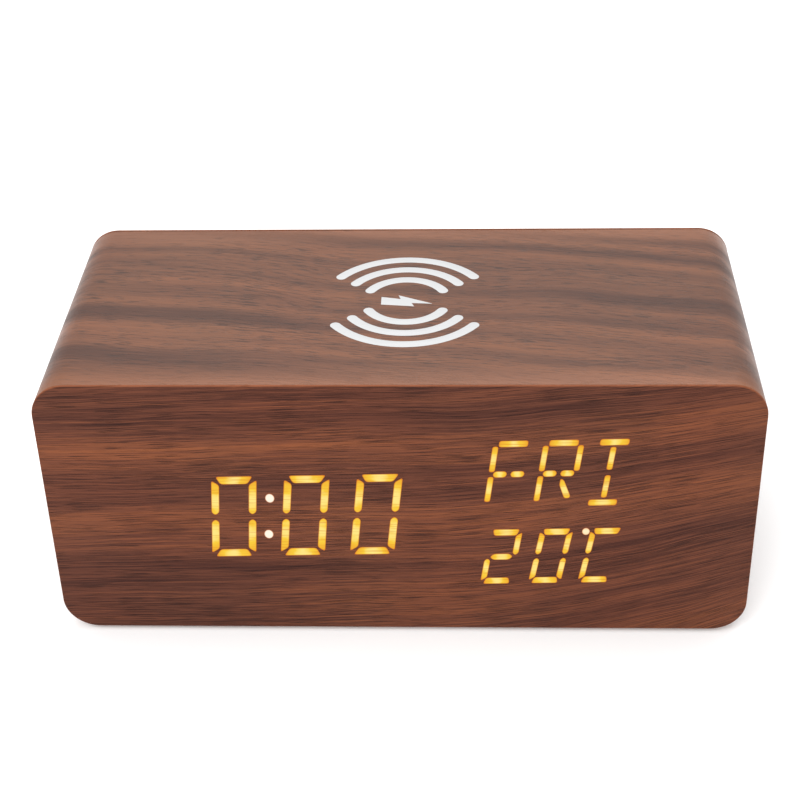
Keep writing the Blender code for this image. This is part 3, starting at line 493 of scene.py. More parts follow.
def tint(wood, value, dash, palette, worn):
    """The wood's colour from its figure, its pores and its worn edges."""
    dark, middle, light = (tuple(colour) for colour in palette)
    colour = wood.ramp(value, [(0.12, dark), (0.5, middle), (0.88, light)])
    blush = wood.noise(wood.coords(), scale=0.03, detail=1)
    red = wood.spread(blush, 0.35, 0.65, 0.0, 0.25)
    colour = wood.mix(red, colour, (1.14, 0.94, 0.86), "MULTIPLY")
    colour = wood.mix(wood.calc("MULTIPLY", dash, 0.75), colour, tuple(0.5 * c for c in dark))
    edge = tuple(min(1.0, 1.55 * c) for c in light)
    return wood.mix(wood.calc("MULTIPLY", worn, 0.55), colour, edge)


def walnut(wood, along, across, bands, streaks, pore, palette, roughness, depth):
    """The rest of a walnut finish, once its grain's directions and its bands are known: rougher where it is
    dark, and cut by its pores. pore is their length and width, and depth is the relief's."""
    value, shifted = figure(wood, along, across, bands, streaks)
    dash = pores(wood, along, shifted, *pore)
    colour = tint(wood, value, dash, palette, wood.mark()[0])
    relief = wood.calc("SUBTRACT", wood.calc("MULTIPLY", value, 0.3), dash)
    return wood.done(colour, wood.spread(value, 0.2, 0.8, *roughness), wood.bump(relief, depth))


@kept
def walnut_face(name, flipped):
    """Oiled walnut on the flat front or rear sheet. The bands climb slightly to the right, and past a line
    right of the middle they bend upwards by the square of the distance, more so low down."""
    wood = Finish(name, specular=sizes().front_gloss)
    x, _, z = wood.split(wood.coords())
    along = wood.calc("MULTIPLY_ADD", x, -1.0, 37.0) if flipped else x
    height = wood.calc("SUBTRACT", z, (MID_Z - BODY_H / 2) / MM)
    past = wood.calc("MAXIMUM", wood.calc("SUBTRACT", along, 6.0), 0.0)
    bend = wood.spread(height, 0, 64, 0.0036, 0.0012)
    arc = wood.calc("MULTIPLY", wood.calc("POWER", past, 2.0), bend)
    across = wood.calc("SUBTRACT", wood.calc("MULTIPLY_ADD", along, -0.03, height), arc)
    waver = wood.stretched(along, across, (0.018, 0.06), 7.0)
    level = wood.calc("MULTIPLY_ADD", waver, 7.0, wood.calc("ADD", across, 0.5))
    bands = wood.ramp(
        wood.calc("MULTIPLY_ADD", level, 1 / 110, 0.28),
        [(0.0, 0.42), (0.18, 0.6), (0.3, 0.34), (0.4, 0.44), (0.47, 0.3), (0.55, 0.56)]
        + [(0.6, 0.68), (0.66, 0.4), (0.71, 0.46), (0.76, 0.68), (0.83, 0.34), (0.92, 0.46)],
    )
    pale = wood.calc("MULTIPLY", wood.spread(height, 12, 32, 0.2, 0.0), wood.spread(along, -35, -5))
    pale = wood.calc("MULTIPLY", pale, wood.spread(along, 10, 40, 1.0, 0.3))
    bands = wood.calc("ADD", bands, pale)
    streaks = ((110, 3.0, 0.5), (70, 0.8, 0.7), (36, 0.2, 1.35))
    shades = colours()
    palette = (shades.walnut_dark, shades.walnut, shades.walnut_light)
    return walnut(wood, along, across, bands, streaks, (9, 0.15), palette, (0.62, 0.5), 0.04 * MM)


@kept
def walnut_wrap(name):
    """Satin walnut round the top, the sides and the underside. It follows the loop: one coordinate runs
    round the outline and the other from front to rear. The bands slope, and a slow noise swells them."""
    wood = Finish(name, specular=0.5)
    u, v, _ = wood.split(wood.node("ShaderNodeUVMap", uv_map="UVMap").outputs[0])
    along, depth = (wood.calc("MULTIPLY", value, 1 / MM) for value in (u, v))
    swell = wood.stretched(along, depth, (0.014, 0.02), 4.0, detail=1)
    sloping = wood.calc("MULTIPLY_ADD", along, -0.13, depth)
    across = wood.calc("MULTIPLY_ADD", swell, 16.0, sloping)
    wave = wood.stretched(along, across, (0.006, 0.12), 2.0, detail=1)
    bands = wood.spread(wave, 0.33, 0.6, 0.1, 0.78)
    streaks = ((110, 3.0, 0.2), (40, 1.0, 0.4), (14, 0.4, 0.9))
    shades = colours()
    palette = (shades.wrap_dark, shades.wrap, shades.wrap_light)
    return walnut(wood, along, across, bands, streaks, (5, 0.3), palette, (0.46, 0.36), 0.03 * MM)


@kept
def glowing_grain(name):
    """Amber light through thin wood: brightest at a bar's middle, redder at its rim, and crossed by the
    grain. The marks are the distance from the rim in millimetres, the place along the bar from -1 to 1,
    and how much of a dot it is."""
    glow = Finish(name, roughness=0.55, specular=0.1)
    shades = colours()
    rim, along, dot = glow.mark()
    x, _, z = glow.split(glow.coords())
    streak = glow.stretched(x, z, (0.1, 3.4), detail=3)
    patch = glow.stretched(x, z, (0.3, 0.4), 5.0)
    fading = glow.calc("POWER", glow.calc("ABSOLUTE", along), glow.spread(patch, 0.35, 0.65, 1.0, 2.4))
    middle = glow.calc("SUBTRACT", 1.0, fading, clamp=True)
    body = glow.mix(middle, tuple(shades.glow_end), tuple(shades.glow))
    body = glow.mix(glow.spread(middle, 0.7, 1.0, 0.0, 0.5), body, (1.0, 0.88, 0.4))
    body = glow.mix(glow.calc("MULTIPLY", dot, 0.95), body, (1.0, 0.95, 0.82))
    grain = glow.spread(streak, 0.34, 0.46, 0.5, 0.0)
    grain = glow.calc("MULTIPLY", grain, glow.calc("SUBTRACT", 1.0, dot))
    body = glow.mix(grain, body, tuple(shades.glow_rim))
    colour = glow.mix(glow.spread(rim, 0.0, 0.2), tuple(shades.glow_rim), body)
    return glow.done((0.0, 0.0, 0.0), Emission_Color=colour, Emission_Strength=sizes().brightness)


@kept
def white_print(name):
    """Screen-printed ink: almost even, with the grain of the wood just showing through."""
    ink = Finish(name, roughness=0.45, specular=0.4)
    x, y, _ = ink.split(ink.coords())
    grain = ink.stretched(x, y, (0.15, 2.2), detail=3)
    showing = ink.spread(grain, 0.4, 0.7, 0.0, 0.12)
    colour = ink.mix(showing, tuple(colours().print_ink), (0.45, 0.4, 0.38))
    return ink.done(colour, normal=ink.bump(grain, 0.02 * MM))


@kept
def moulded(name, kind):
    """Moulded plastic or rubber: a fine spark-eroded skin, slight flow marks, and paler worn edges."""
    colour, roughness, grain, depth = {
        "black": (tuple(colours().panel), 0.52, 5.0, 0.03),
        "satin_black": ((0.012, 0.012, 0.013), 0.36, 9.0, 0.008),
        "white": ((0.72, 0.72, 0.69), 0.42, 6.0, 0.01),
        "film": ((0.78, 0.74, 0.62), 0.5, 8.0, 0.01),
        "chip": ((0.02, 0.021, 0.022), 0.62, 12.0, 0.01),
        "rubber": ((0.024, 0.024, 0.025), 0.82, 6.0, 0.03),
        "ferrite": ((0.045, 0.045, 0.05), 0.7, 4.0, 0.02),
        "red": ((0.5, 0.018, 0.014), 0.38, 4.0, 0.006),
        "grey": ((0.3, 0.3, 0.32), 0.42, 4.0, 0.006),
        "sleeve": ((0.02, 0.03, 0.07), 0.3, 3.0, 0.004),
    }[kind]
    skin = Finish(name, roughness=roughness)
    place = skin.coords()
    fine = skin.noise(place, scale=grain, detail=2)
    flow = skin.noise(place, scale=0.12, detail=3)
    flowed, rubbed = tuple(1.5 * c + 0.004 for c in colour), tuple(2 * c + 0.02 for c in colour)
    tone = skin.mix(skin.spread(flow, 0.35, 0.7, 0.0, 0.3), colour, flowed)
    tone = skin.mix(skin.calc("MULTIPLY", skin.mark()[0], 0.25), tone, rubbed)
    rough = skin.spread(skin.calc("ADD", fine, flow), 0.7, 1.3, roughness - 0.05, roughness + 0.08)
    return skin.done(tone, rough, skin.bump(fine, depth * MM))


@kept
def metal(name, kind):
    """Bare metal: faint brushing along X, tarnish in patches and uneven polish."""
    bright, dull, roughness = {
        "steel": ((0.62, 0.62, 0.61), (0.42, 0.41, 0.39), 0.26),
        "brass": ((0.78, 0.58, 0.27), (0.5, 0.34, 0.14), 0.28),
        "copper": ((0.8, 0.34, 0.15), (0.5, 0.17, 0.07), 0.3),
        "gold": ((0.85, 0.62, 0.28), (0.7, 0.48, 0.2), 0.2),
    }[kind]
    sheet = Finish(name, roughness=roughness, metallic=1.0)
    rates = zip(sheet.split(sheet.coords()), (0.6, 9.0, 9.0))
    brush = sheet.noise(sheet.join(*(sheet.calc("MULTIPLY", value, rate) for value, rate in rates)))
    patch = sheet.noise(sheet.coords(), scale=0.35, detail=4)
    colour = sheet.mix(sheet.spread(patch, 0.4, 0.75), bright, dull)
    rough = sheet.spread(sheet.calc("ADD", brush, patch), 0.7, 1.3, roughness - 0.08, roughness + 0.12)
    return sheet.done(colour, rough, sheet.bump(brush, 0.004 * MM))


@kept
def fibreboard(name):
    """Pressed wood fibre: pale brown, flecked with short darker fibres that lie every way."""
    board = Finish(name, roughness=0.9, specular=0.2)
    place = board.coords()
    fibre = board.noise(place, scale=1.4, detail=6, roughness=0.7, distortion=1.2)
    patch = board.noise(place, scale=0.12, detail=2)
    dark, middle, pale = (0.2, 0.115, 0.06), (0.36, 0.235, 0.13), (0.5, 0.35, 0.21)
    colour = board.ramp(fibre, [(0.3, dark), (0.5, middle), (0.7, pale)])
    colour = board.mix(board.spread(patch, 0.4, 0.7, 0.0, 0.3), colour, (0.3, 0.19, 0.1))
    return board.done(colour, normal=board.bump(fibre, 0.08 * MM))


@kept
def circuit_board(name, across):
    """Green solder mask over copper tracks, which show as paler, raised lines. The tracks are the middles of
    lanes, kept where a noise is high in runs along the lane, once for each direction. across names the axis
    that the board is thin along."""
    board = Finish(name, roughness=0.32)
    axes = board.split(board.coords())
    u, v = (axes[0], axes[2]) if across == "Y" else (axes[0], axes[1])
    tracks = []
    for along, over, seed in ((u, v, 1.0), (v, u, 9.0)):
        run = board.calc("FLOOR", board.calc("MULTIPLY", along, 0.09))
        lane = board.calc("MULTIPLY", over, 0.85)
        here = board.noise(board.join(run, board.calc("FLOOR", lane), seed), scale=3.7, detail=0)
        off = board.calc("ABSOLUTE", board.calc("SUBTRACT", board.calc("FRACT", lane), 0.5))
        line = board.calc("LESS_THAN", off, 0.2)
        tracks.append(board.calc("MULTIPLY", line, board.calc("GREATER_THAN", here, 0.52)))
    copper = board.calc("MAXIMUM", *tracks)
    mottle = board.noise(board.coords(), scale=0.4, detail=3)
    mask = board.mix(mottle, (0.004, 0.07, 0.022), (0.01, 0.12, 0.04))
    colour = board.mix(board.calc("MULTIPLY", copper, 0.7), mask, (0.03, 0.26, 0.09))
    colour = board.mix(board.mark()[0], colour, (0.5, 0.46, 0.28))
    return board.done(colour, normal=board.bump(copper, 0.03 * MM))


@kept
def wound_wire(name):
    """Enamelled copper wire, whose varnish darkens in patches."""
    wire = Finish(name, roughness=0.24, metallic=1.0)
    patch = wire.noise(wire.coords(), scale=0.6, detail=3)
    colour = wire.mix(patch, (0.86, 0.36, 0.12), (0.55, 0.17, 0.05))
    return wire.done(colour, wire.spread(patch, 0.3, 0.7, 0.2, 0.36))


@kept
def pale_floor(name):
    """Matt white paper with a very faint tooth."""
    paper = Finish(name, roughness=0.9, specular=0.1)
    tooth = paper.noise(paper.coords(), scale=0.4, detail=4)
    tone = tuple(colours().floor)
    colour = paper.mix(tooth, tone, tuple(0.985 * c for c in tone))
    return paper.done(colour, Emission_Color=(1.0, 1.0, 1.0), Emission_Strength=0.08)


# ---------------------------------------------------------------- wooden body


def build_front():
    """The front sheet: a flat plate whose rim is a quarter round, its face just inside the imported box."""
    face = -FRONT_Y - SKIN_SET
    back = face - VENEER_T + SKIN_SET
    outline = rounded_rect(BODY_W, BODY_H, CORNER_R, 16, 24)
    shells = Shells().plate(outline, [], back, face, sizes().edge_round, facing("front", (0, 0, MID_Z)))
    return shells.build("front_wood", walnut_face(False), "case", "walnut_front", ["front_veneer"])


def build_rear():
    """The rear sheet, with the rounded opening that the panel sits in."""
    face = REAR_Y - SKIN_SET
    back = face - VENEER_T + SKIN_SET
    width, height = PANEL_HIGH[0] - PANEL_LOW[0] + 4 * GAP, PANEL_HIGH[2] - PANEL_LOW[2] + 4 * GAP
    window = [(rounded_rect(width, height, 4.3 * MM, 8), [(0, back)])]
    outline = rounded_rect(BODY_W, BODY_H, CORNER_R, 16, 24)
    shells = Shells().plate(outline, window, back, face, sizes().edge_round, facing("rear", (0, 0, MID_Z)))
    return shells.build("rear_wood", walnut_face(True), "case", "walnut_front", ["rear_veneer"])


def build_wrap():
    """The skin round the loop: its section, a thin slip with rounded outer ends, is carried round the
    body's outline. The UV map is the distance round the loop, counted from the top of the right side, and
    the place from front to rear; the loop's ends meet in the middle of the underside."""
    low, high, _ = extent("side_wrap")
    outline = rounded_rect(BODY_W, BODY_H, CORNER_R, 16, 40)
    start = np.hypot(outline[:, 0], outline[:, 1] + BODY_H / 2).argmin()
    outline = np.roll(outline, -start, 0)
    rounding = 0.14 * MM
    outer = [(SKIN_SET + i, high[1] - d, 1 - i / rounding) for i, d in soft_edge(rounding)]
    section = [(WRAP_T, high[1], 1)] + outer[::-1]
    flat = np.linspace(high[1] - rounding, low[1] + rounding, 9)[1:-1]
    section += [(SKIN_SET, y, 0) for y in flat]
    section += [(i, low[1] + high[1] - y, worn) for i, y, worn in outer] + [(WRAP_T, low[1], 1)]
    rings = [ring(inset(outline, i), y) for i, y, _ in section]
    marks = [np.tile((worn, 0, 0), (len(outline), 1)) for _, _, worn in section]
    shells = Shells().loft(rings, facing("rear", (0, 0, MID_Z)), np.array(marks), closed=True)
    piece = shells.build("wrap_wood", walnut_wrap(), "case", "walnut_wrap", ["side_wrap"])

    steps = np.linalg.norm(np.diff(outline, axis=0, append=outline[:1]), axis=1)
    travelled = np.concatenate([[0], np.cumsum(steps)[:-1]])
    travelled -= travelled[len(outline) - start]
    corner = np.zeros(len(piece.data.loops), np.int32)
    piece.data.loops.foreach_get("vertex_index", corner)
    points = np.zeros(len(piece.data.vertices) * 3, np.float32)
    piece.data.vertices.foreach_get("co", points)
    u = travelled[corner % len(outline)].reshape(-1, 4)
    total = steps.sum()
    u = np.where(u < u.max(1, keepdims=True) - total / 2, u + total, u)
    v = points.reshape(-1, 3)[corner, 1]
    layer = piece.data.uv_layers.new(name="UVMap")
    layer.data.foreach_set("uv", np.column_stack([u.ravel(), v]).astype(np.float32).ravel())
    return piece


def build_feet():
    """Four rubber pads: a turned disc with a rounded rim and a shallow dished underside."""
    for number in range(1, 5):
        low, high, middle = extent(f"foot_{number}")
        radius = (high[0] - low[0]) / 2
        rim = [(radius - i, d) for i, d in soft_edge(0.35 * MM)]
        profile = [(0, 0.25 * MM), (radius - 2.2 * MM, 0.25 * MM), (radius - 1.5 * MM, 0)]
        profile += rim[::-1] + [(radius, high[2]), (0, high[2])]
        shells = Shells().turn(profile, facing("top", (middle[0], middle[1], 0)))
        shells.build(f"rubber_foot_{number}", moulded("rubber"), "case", "rubber", [f"foot_{number}"])


# ---------------------------------------------------------------- charging mark


def arc_stroke(radius, width, start, end, steps=40):
    """A stroke along an arc, with round ends: out along the outer edge, round, and back along the inner."""
    angles = np.linspace(start, end, steps)[:, None]
    turn = np.linspace(0, math.pi, 10)[1:-1, None]
    direction = np.hstack([np.cos(angles), np.sin(angles)])
    half = width / 2

    def cap(angle, phase):
        middle = radius * np.array([math.cos(angle), math.sin(angle)])
        return middle + half * np.hstack([np.cos(turn + phase), np.sin(turn + phase)])

    outer, inner = (radius + half) * direction, ((radius - half) * direction)[::-1]
    return np.concatenate([outer, cap(end, end), inner, cap(start, start + math.pi)])


def build_mark():
    """The white print over the coil: three arcs towards the rear, three towards the front, and a bolt."""
    top = TOP_Z - PRINT_SET
    spot = facing("top", (1.0 * MM, 0.5 * MM, 0))
    shells = Shells()
    width = sizes().mark_stroke
    for side in (0, math.pi):
        for radius, start in ((9.0, 28), (13.5, 33), (18.0, 35)):
            angles = math.radians(start) + side, math.radians(180 - start) + side
            shells.prism(arc_stroke(radius * MM, width, *angles), top - 0.1 * MM, top, 0.01 * MM, spot)
    bolt = polygon((-5.4, 1.5), (-1.2, 0.6), (-1.7, 2.2), (5.8, -1.4), (1.2, -1.1), (1.8, -2.5), (-5.4, -1.7))
    shells.prism(bolt, top - 0.1 * MM, top, 0.01 * MM, spot)
    return shells.build("charging_mark", white_print(), "case", "walnut_wrap")


# ---------------------------------------------------------------- lit characters

# All in millimetres: each size is the width and height between the bars' middles, and each start, pitch and
# level places a row of characters about the middle of the front sheet.
TIME_SIZE, WEEKDAY_SIZE, DEGREE_SIZE = (7.93, 19.3), (7.2, 15.4), (5.75, 13.2)
TIME_START, TIME_PITCH, TIME_LEVEL = -46.4, 15.13, -0.85
WEEKDAY_START, WEEKDAY_PITCH, WEEKDAY_LEVEL = 27.1, 10.32, 9.2
DEGREE_LEVEL, DEGREE_POINT = -12.7, (43.3, -6.15)
LETTERS = (("a", "e", "f", "g1", "g2"), ("a", "b", "e", "f", "g1", "g2", "m"), ("a", "d", "i", "l"))


def seven_bars(width, height, bar, stroke, slant):
    """The bars of a digit about its centre, upright, in millimetres. Width and height are between the bars'
    middles, bar is a level bar's thickness and stroke an upright one's. The top and bottom bars are
    trapezoids, whose ends slant by a share of bar; the upright ones are mitred outside and pointed inside,
    and the middle one is pointed at both ends."""
    x, y, s = width / 2, height / 2, stroke / 2
    outer = x - 0.01 * bar
    inner = outer - slant * bar
    top = polygon((-outer, y + bar / 2), (-inner, y - bar / 2), (inner, y - bar / 2), (outer, y + bar / 2))
    mitre, shoulder, tip = y - 0.72 * stroke, 0.75 * stroke, 0.33 * stroke
    side = polygon((x + s, y), (x - s, mitre), (x - s, shoulder), (x, tip), (x + s, shoulder))
    end, half = x - 0.3 * stroke, 0.48 * bar
    flat = end - half
    middle = polygon((end, 0), (flat, half), (-flat, half), (-end, 0), (-flat, -half), (flat, -half))
    flips = {"a": (1, 1), "d": (1, -1)}
    bars = {name: mirrored(top, *sign) for name, sign in flips.items()}
    flips = {"b": (1, 1), "c": (1, -1), "e": (-1, -1), "f": (-1, 1)}
    bars |= {name: mirrored(side, *sign) for name, sign in flips.items()}
    return bars | {"g": middle}


def letter_bars(width, height, bar, stroke):
    """The bars that the letters F, R and I need, about the centre, upright, in millimetres: rectangles, two
    pointed dashes across the middle, and a slanting leg. Width and height are between the bars' middles."""
    x, y = width / 2, height / 2
    top = rectangle((width - 0.95 * stroke) * MM, bar * MM)
    post = rectangle(stroke * MM, (y - 0.5 * bar - 0.4) * MM)
    short = rectangle(stroke * MM, (y - 0.5 * bar - 1.1) * MM)
    h, b = (x - 0.55) * MM / 2 / MM, bar / 2
    flat = h - b / 2
    dash = polygon((h, 0), (flat, b), (-flat, b), (-h, 0), (-flat, -b), (flat, -b))
    leg = polygon((0.6, -1.3), (1.4, -1.7), (3.35, -5.9), (3.1, -6.45), (2.1, -6.45), (0.6, -3.0))
    spots = {"a": (top, 0, y), "d": (top, 0, -y), "b": (post, x, y / 2), "f": (post, -x, y / 2)}
    spots |= {"e": (post, -x, -y / 2), "i": (short, 0, 0.47 * y), "l": (short, 0, -0.46 * y)}
    spots |= {"g1": (dash, -x / 2 - 0.02, 0), "g2": (dash, x / 2 + 0.02, 0), "m": (leg, 0, 0)}
    return {name: shape + np.array((dx, dz)) * MM for name, (shape, dx, dz) in spots.items()}


def lit_shape(shells, shape, corner, dot=0.0):
    """One lit shape as a thin inlay. Its face is rings drawn in from the rim, which mark their distance from
    the rim and how far along the shape's longest direction their points are. dot is the third mark."""
    top = -FRONT_Y - PRINT_SET
    steps = [(0, top - 0.1 * MM), (0, top - 0.004 * MM), (0.1 * MM, top), (0.2 * MM, top), (0.32 * MM, top)]
    rings, marks = [], []
    middle = shape.mean(0)
    axis = np.linalg.svd(shape - middle)[2][0]
    reach = np.abs((shape - middle) @ axis).max()
    for distance, level in steps:
        outline = softened(inset(shape, distance), corner) if corner else inset(shape, distance)
        rings.append(ring(outline, level))
        along = (outline - middle) @ axis / reach
        marks.append(np.column_stack([np.full(len(along), distance / MM), along, np.full(len(along), dot)]))
    shells.loft(rings, module("front"), np.array(marks))


def leaned(shape, lean, x, z):
    """The shape leaned to the right, each point by its height times the lean's tangent, then moved to
    x, z in millimetres."""
    shift = np.column_stack([math.tan(lean) * shape[:, 1], 0 * shape[:, 1]])
    return shape + shift + (x * MM, z * MM)


def build_lights():
    """The lit characters: hour and minutes, weekday, and temperature. Those that are off don't show."""
    digit = seven_bars(*TIME_SIZE, 2.0, 1.68, 0.54)
    shells = Shells()
    for number, lean in ((1, 5.4), (2, 6.8), (3, 7.7)):
        for name in "abcdef":
            place = TIME_START + TIME_PITCH * number
            lit_shape(shells, leaned(digit[name], math.radians(lean), place, TIME_LEVEL), 0.6 * MM)
    for side in (-1, 1):
        rise = 4.78 * side
        centre = (-23.72 + math.tan(math.radians(6.1)) * rise, -0.8 + rise)
        spot = circle(sizes().dot_radius, 24) * (0.94, 1.12)
        lit_shape(shells, spot + np.array(centre) * MM, 0, 1.0)
    shells.build("time_lights", glowing_grain(), "case", "diffuser")

    letter = letter_bars(*WEEKDAY_SIZE, 1.6, 1.25)
    shells = Shells()
    for number, names in enumerate(LETTERS):
        for name in names:
            place = WEEKDAY_START + WEEKDAY_PITCH * number
            lit_shape(shells, leaned(letter[name], math.radians(8.2), place, WEEKDAY_LEVEL), 0.55 * MM)
    shells.build("weekday_lights", glowing_grain(), "case", "diffuser")

    small = seven_bars(*DEGREE_SIZE, 1.7, 1.3, 0.25)
    shells = Shells()
    for place, lean, names in ((25.3, 9.4, "abged"), (35.85, 10.6, "abcdef"), (46.5, 10.6, "adef")):
        for name in names:
            lit_shape(shells, leaned(small[name], math.radians(lean), place, DEGREE_LEVEL), 0.55 * MM)
    point = circle(0.9 * MM, 20) * (0.92, 1.05)
    lit_shape(shells, point + np.array(DEGREE_POINT) * MM, 0, 0.6)
    shells.build("temperature_lights", glowing_grain(), "case", "diffuser")


# ---------------------------------------------------------------- stage


def build_stage():
    """Floor, light and camera. The floor is one wide level sheet under the feet, 6 metres each way."""
    shells = Shells().prism(rectangle(6.0, 6.0), -2 * MM, 0, 0, facing("top"))
    mesh = bpy.data.meshes.new("floor")
    faces = [face for group in shells.faces for face in group.tolist()]
    mesh.from_pydata(np.concatenate(shells.points).tolist(), [], faces)
    floor = bpy.data.objects.new("floor", mesh)
    bpy.context.scene.collection.objects.link(floor)
    mesh.materials.append(pale_floor())

    world = bpy.data.worlds.new("studio")
    world.use_nodes = True
    bpy.context.scene.world = world
    background = world.node_tree.nodes["Background"]
    background.inputs["Color"].default_value = (1, 1, 1, 1)
    background.inputs["Strength"].default_value = sizes().room_light

    for name, spot, side, power in (
        ("key_light", (-0.35, -0.75, 0.85), 0.7, 9.0),
        ("top_light", (0.1, 0.35, 1.1), 0.9, 6.0),
    ):
        light = bpy.data.lights.new(name, "AREA")
        light.shape, light.size, light.energy = "SQUARE", side, power * sizes().lamp_light
        lamp = bpy.data.objects.new(name, light)
        lamp.location = spot
        lamp.rotation_mode = "QUATERNION"
        lamp.rotation_quaternion = (Vector((0, 0, MID_Z)) - Vector(spot)).to_track_quat("-Z", "Y")
        bpy.context.scene.collection.objects.link(lamp)

    yaw, pitch, roll = (math.radians(angle) for angle in (-2.886, 33.756, -1.614))
    ahead = Vector((math.sin(yaw) * math.cos(pitch), math.cos(yaw) * math.cos(pitch), -math.sin(pitch)))
    level = Vector((math.cos(yaw), -math.sin(yaw), 0))
    over = level.cross(ahead)
    right = math.cos(roll) * level + math.sin(roll) * over
    up = math.cos(roll) * over - math.sin(roll) * level
    camera = bpy.data.objects.new("camera", bpy.data.cameras.new("camera"))
    camera.data.lens = 76.8
    camera.data.sensor_width = 36
    turned = Matrix((right, up, -ahead)).transposed().to_4x4()
    camera.matrix_world = Matrix.Translation(Vector((15.2, -319.7, 253.4)) * MM) @ turned
    bpy.context.scene.collection.objects.link(camera)
    bpy.context.scene.camera = camera
    bpy.context.scene.view_settings.view_transform = "Standard"


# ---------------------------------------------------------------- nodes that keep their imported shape


def dress(finish, *nodes):
    """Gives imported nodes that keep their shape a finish."""
    for node in nodes:
        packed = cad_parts[node]
        packed.data.materials.clear()
        packed.data.materials.append(finish)


def finish_core():
    """The pressed-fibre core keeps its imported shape."""
    dress(fibreboard(), "carcass")


# ---------------------------------------------------------------- rear panel and what shows in it

UPPER_ROW = MID_Z + 8 * MM
LOWER_ROW = MID_Z - 10 * MM
BUTTON_X = {name: extent(f"{name}_button")[2][0] for name in ("set", "up", "down")}
SWITCH_X = extent("sound_switch_frame")[2][0]
INLET_LOW, INLET_HIGH, INLET_MID = extent("inlet_shell")
BUZZER_MID = extent("buzzer")[2]
MICROPHONE_X = extent("microphone")[2][0]
SENSOR_X = extent("temp_sensor")[2][0]
DOOR_LOW, DOOR_HIGH, DOOR_MID = extent("battery_door")
CELL_LOW, CELL_HIGH, CELL_MID = extent("battery_cell")
ON_BOARD = BOARD_HIGH[1]
UNDER_BOARD = BOARD_LOW[1]
SEAT_DEPTH = 1.4 * MM
BAY_FLOOR = 25.8 * MM
BAY_SIDE = 22.4 * MM
DOOR_HEIGHT = 26 * MM
# Pillars between the panel and the control board, in millimetres from the panel's middle.
SCREWED_PILLARS = ((-49, 16), (20, -16))
PILLARS = ((-49, 16), (-49, -16), (20, 16), (20, -16))


def build_panel():
    """The moulded rear panel: a plate with every opening, raised rims round the controls, the battery tub
    behind the door and four pillars down to the control board."""
    at = facing("rear", (0, 0, MID_Z))
    soft = 0.15 * MM
    through = [(0, PANEL_Y)]
    holes = [(circle(3.8 * MM, 40) + (x, UPPER_ROW - MID_Z), through) for x in BUTTON_X.values()]
    low = LOWER_ROW - MID_Z
    slot = rounded_rect(7.4 * MM, 3.2 * MM, 0.5 * MM)
    mouth = rounded_rect(9.6 * MM, 3.8 * MM, 1.88 * MM)
    holes += [(slot + (SWITCH_X, low), through), (mouth + (INLET_MID[0], low), through)]
    holes.append((circle(0.8 * MM, 20) + (MICROPHONE_X, low), through))
    vent = rounded_rect(7 * MM, 1.1 * MM, 0.5 * MM, 5)
    holes += [(vent + (SENSOR_X, low + row * 2.4 * MM), through) for row in (-1, 0, 1)]
    grille = np.vstack([[(0, 0)], circle(3.4 * MM, 6)]) + (BUZZER_MID[0], BUZZER_MID[2] - MID_Z)
    holes += [(circle(0.8 * MM, 20) + spot, through) for spot in grille]
    door = rounded_rect(DOOR_HIGH[0] - DOOR_LOW[0] + 2 * GAP, DOOR_HEIGHT + 2 * GAP, 2 * MM)
    holes.append((door + (DOOR_MID[0], 0), through))
    seat = PANEL_REAR - SEAT_DEPTH
    for number in range(1, 5):
        middle = extent(f"panel_screw_{number}")[2]
        spot = (middle[0], middle[2] - MID_Z)
        holes.append((circle(2.72 * MM, 40) + spot, [(1.3 * MM, PANEL_Y), (1.3 * MM, seat), (0, seat)]))
    outline = rounded_rect(PANEL_HIGH[0] - PANEL_LOW[0], PANEL_HIGH[2] - PANEL_LOW[2], 3.7 * MM, 10)
    shells = Shells().plate(outline, holes, PANEL_Y, PANEL_REAR, soft, at)

    into = 0.1 * MM
    bay = rounded_rect(BAY_SIDE, BAY_SIDE, 2 * MM, 5)
    tub = facing("rear", (DOOR_MID[0], 0, MID_Z))
    outside = rounded_rect(31 * MM, 29 * MM, 3 * MM)
    shells.plate(outside, [(bay, [(0, BAY_FLOOR)])], PANEL_LOW[1] + 1.1 * MM, PANEL_Y + into, soft, tub)
    foot = ON_BOARD + GAP
    for pillar in PILLARS:
        spot = facing("front", (pillar[0] * MM, 0, MID_Z + pillar[1] * MM))
        bore = [(circle(1.1 * MM, 24), [(0, -foot - 4 * MM)])] if pillar in SCREWED_PILLARS else []
        shells.plate(circle(2.8 * MM, 32), bore, -PANEL_Y - into, -foot, 0.1 * MM, spot)
    rims = [(circle(4.9 * MM, 48), 0.7, x, UPPER_ROW) for x in BUTTON_X.values()]
    rims.append((rounded_rect(9.2 * MM, 5.0 * MM, 1.2 * MM), 0.6, SWITCH_X, LOWER_ROW))
    rims.append((rounded_rect(11.4 * MM, 5.6 * MM, 2.7 * MM), 0.6, INLET_MID[0], LOWER_ROW))
    rims.append((circle(5.6 * MM, 48), 0.5, BUZZER_MID[0], BUZZER_MID[2]))
    for outline, width, x, z in rims:
        rim_ring(shells, outline, width * MM, facing("rear", (x, 0, z)))
    return shells.build("panel", moulded("black"), "case", "panel_black", ["rear_panel"])


def rim_ring(shells, outline, width, at):
    """A low raised rim round a control: half a sine wave as its section, carried round an outline."""
    foot, height = PANEL_REAR - 0.1 * MM, 0.3 * MM
    turn = np.linspace(0, math.pi, 7)
    section = [(width / 2 * (1 - math.cos(t)), foot + 0.1 * MM + height * math.sin(t)) for t in turn]
    section = [(0, foot), *section, (width, foot)]
    shells.loft([ring(inset(outline, i), level) for i, level in section], at, closed=True)


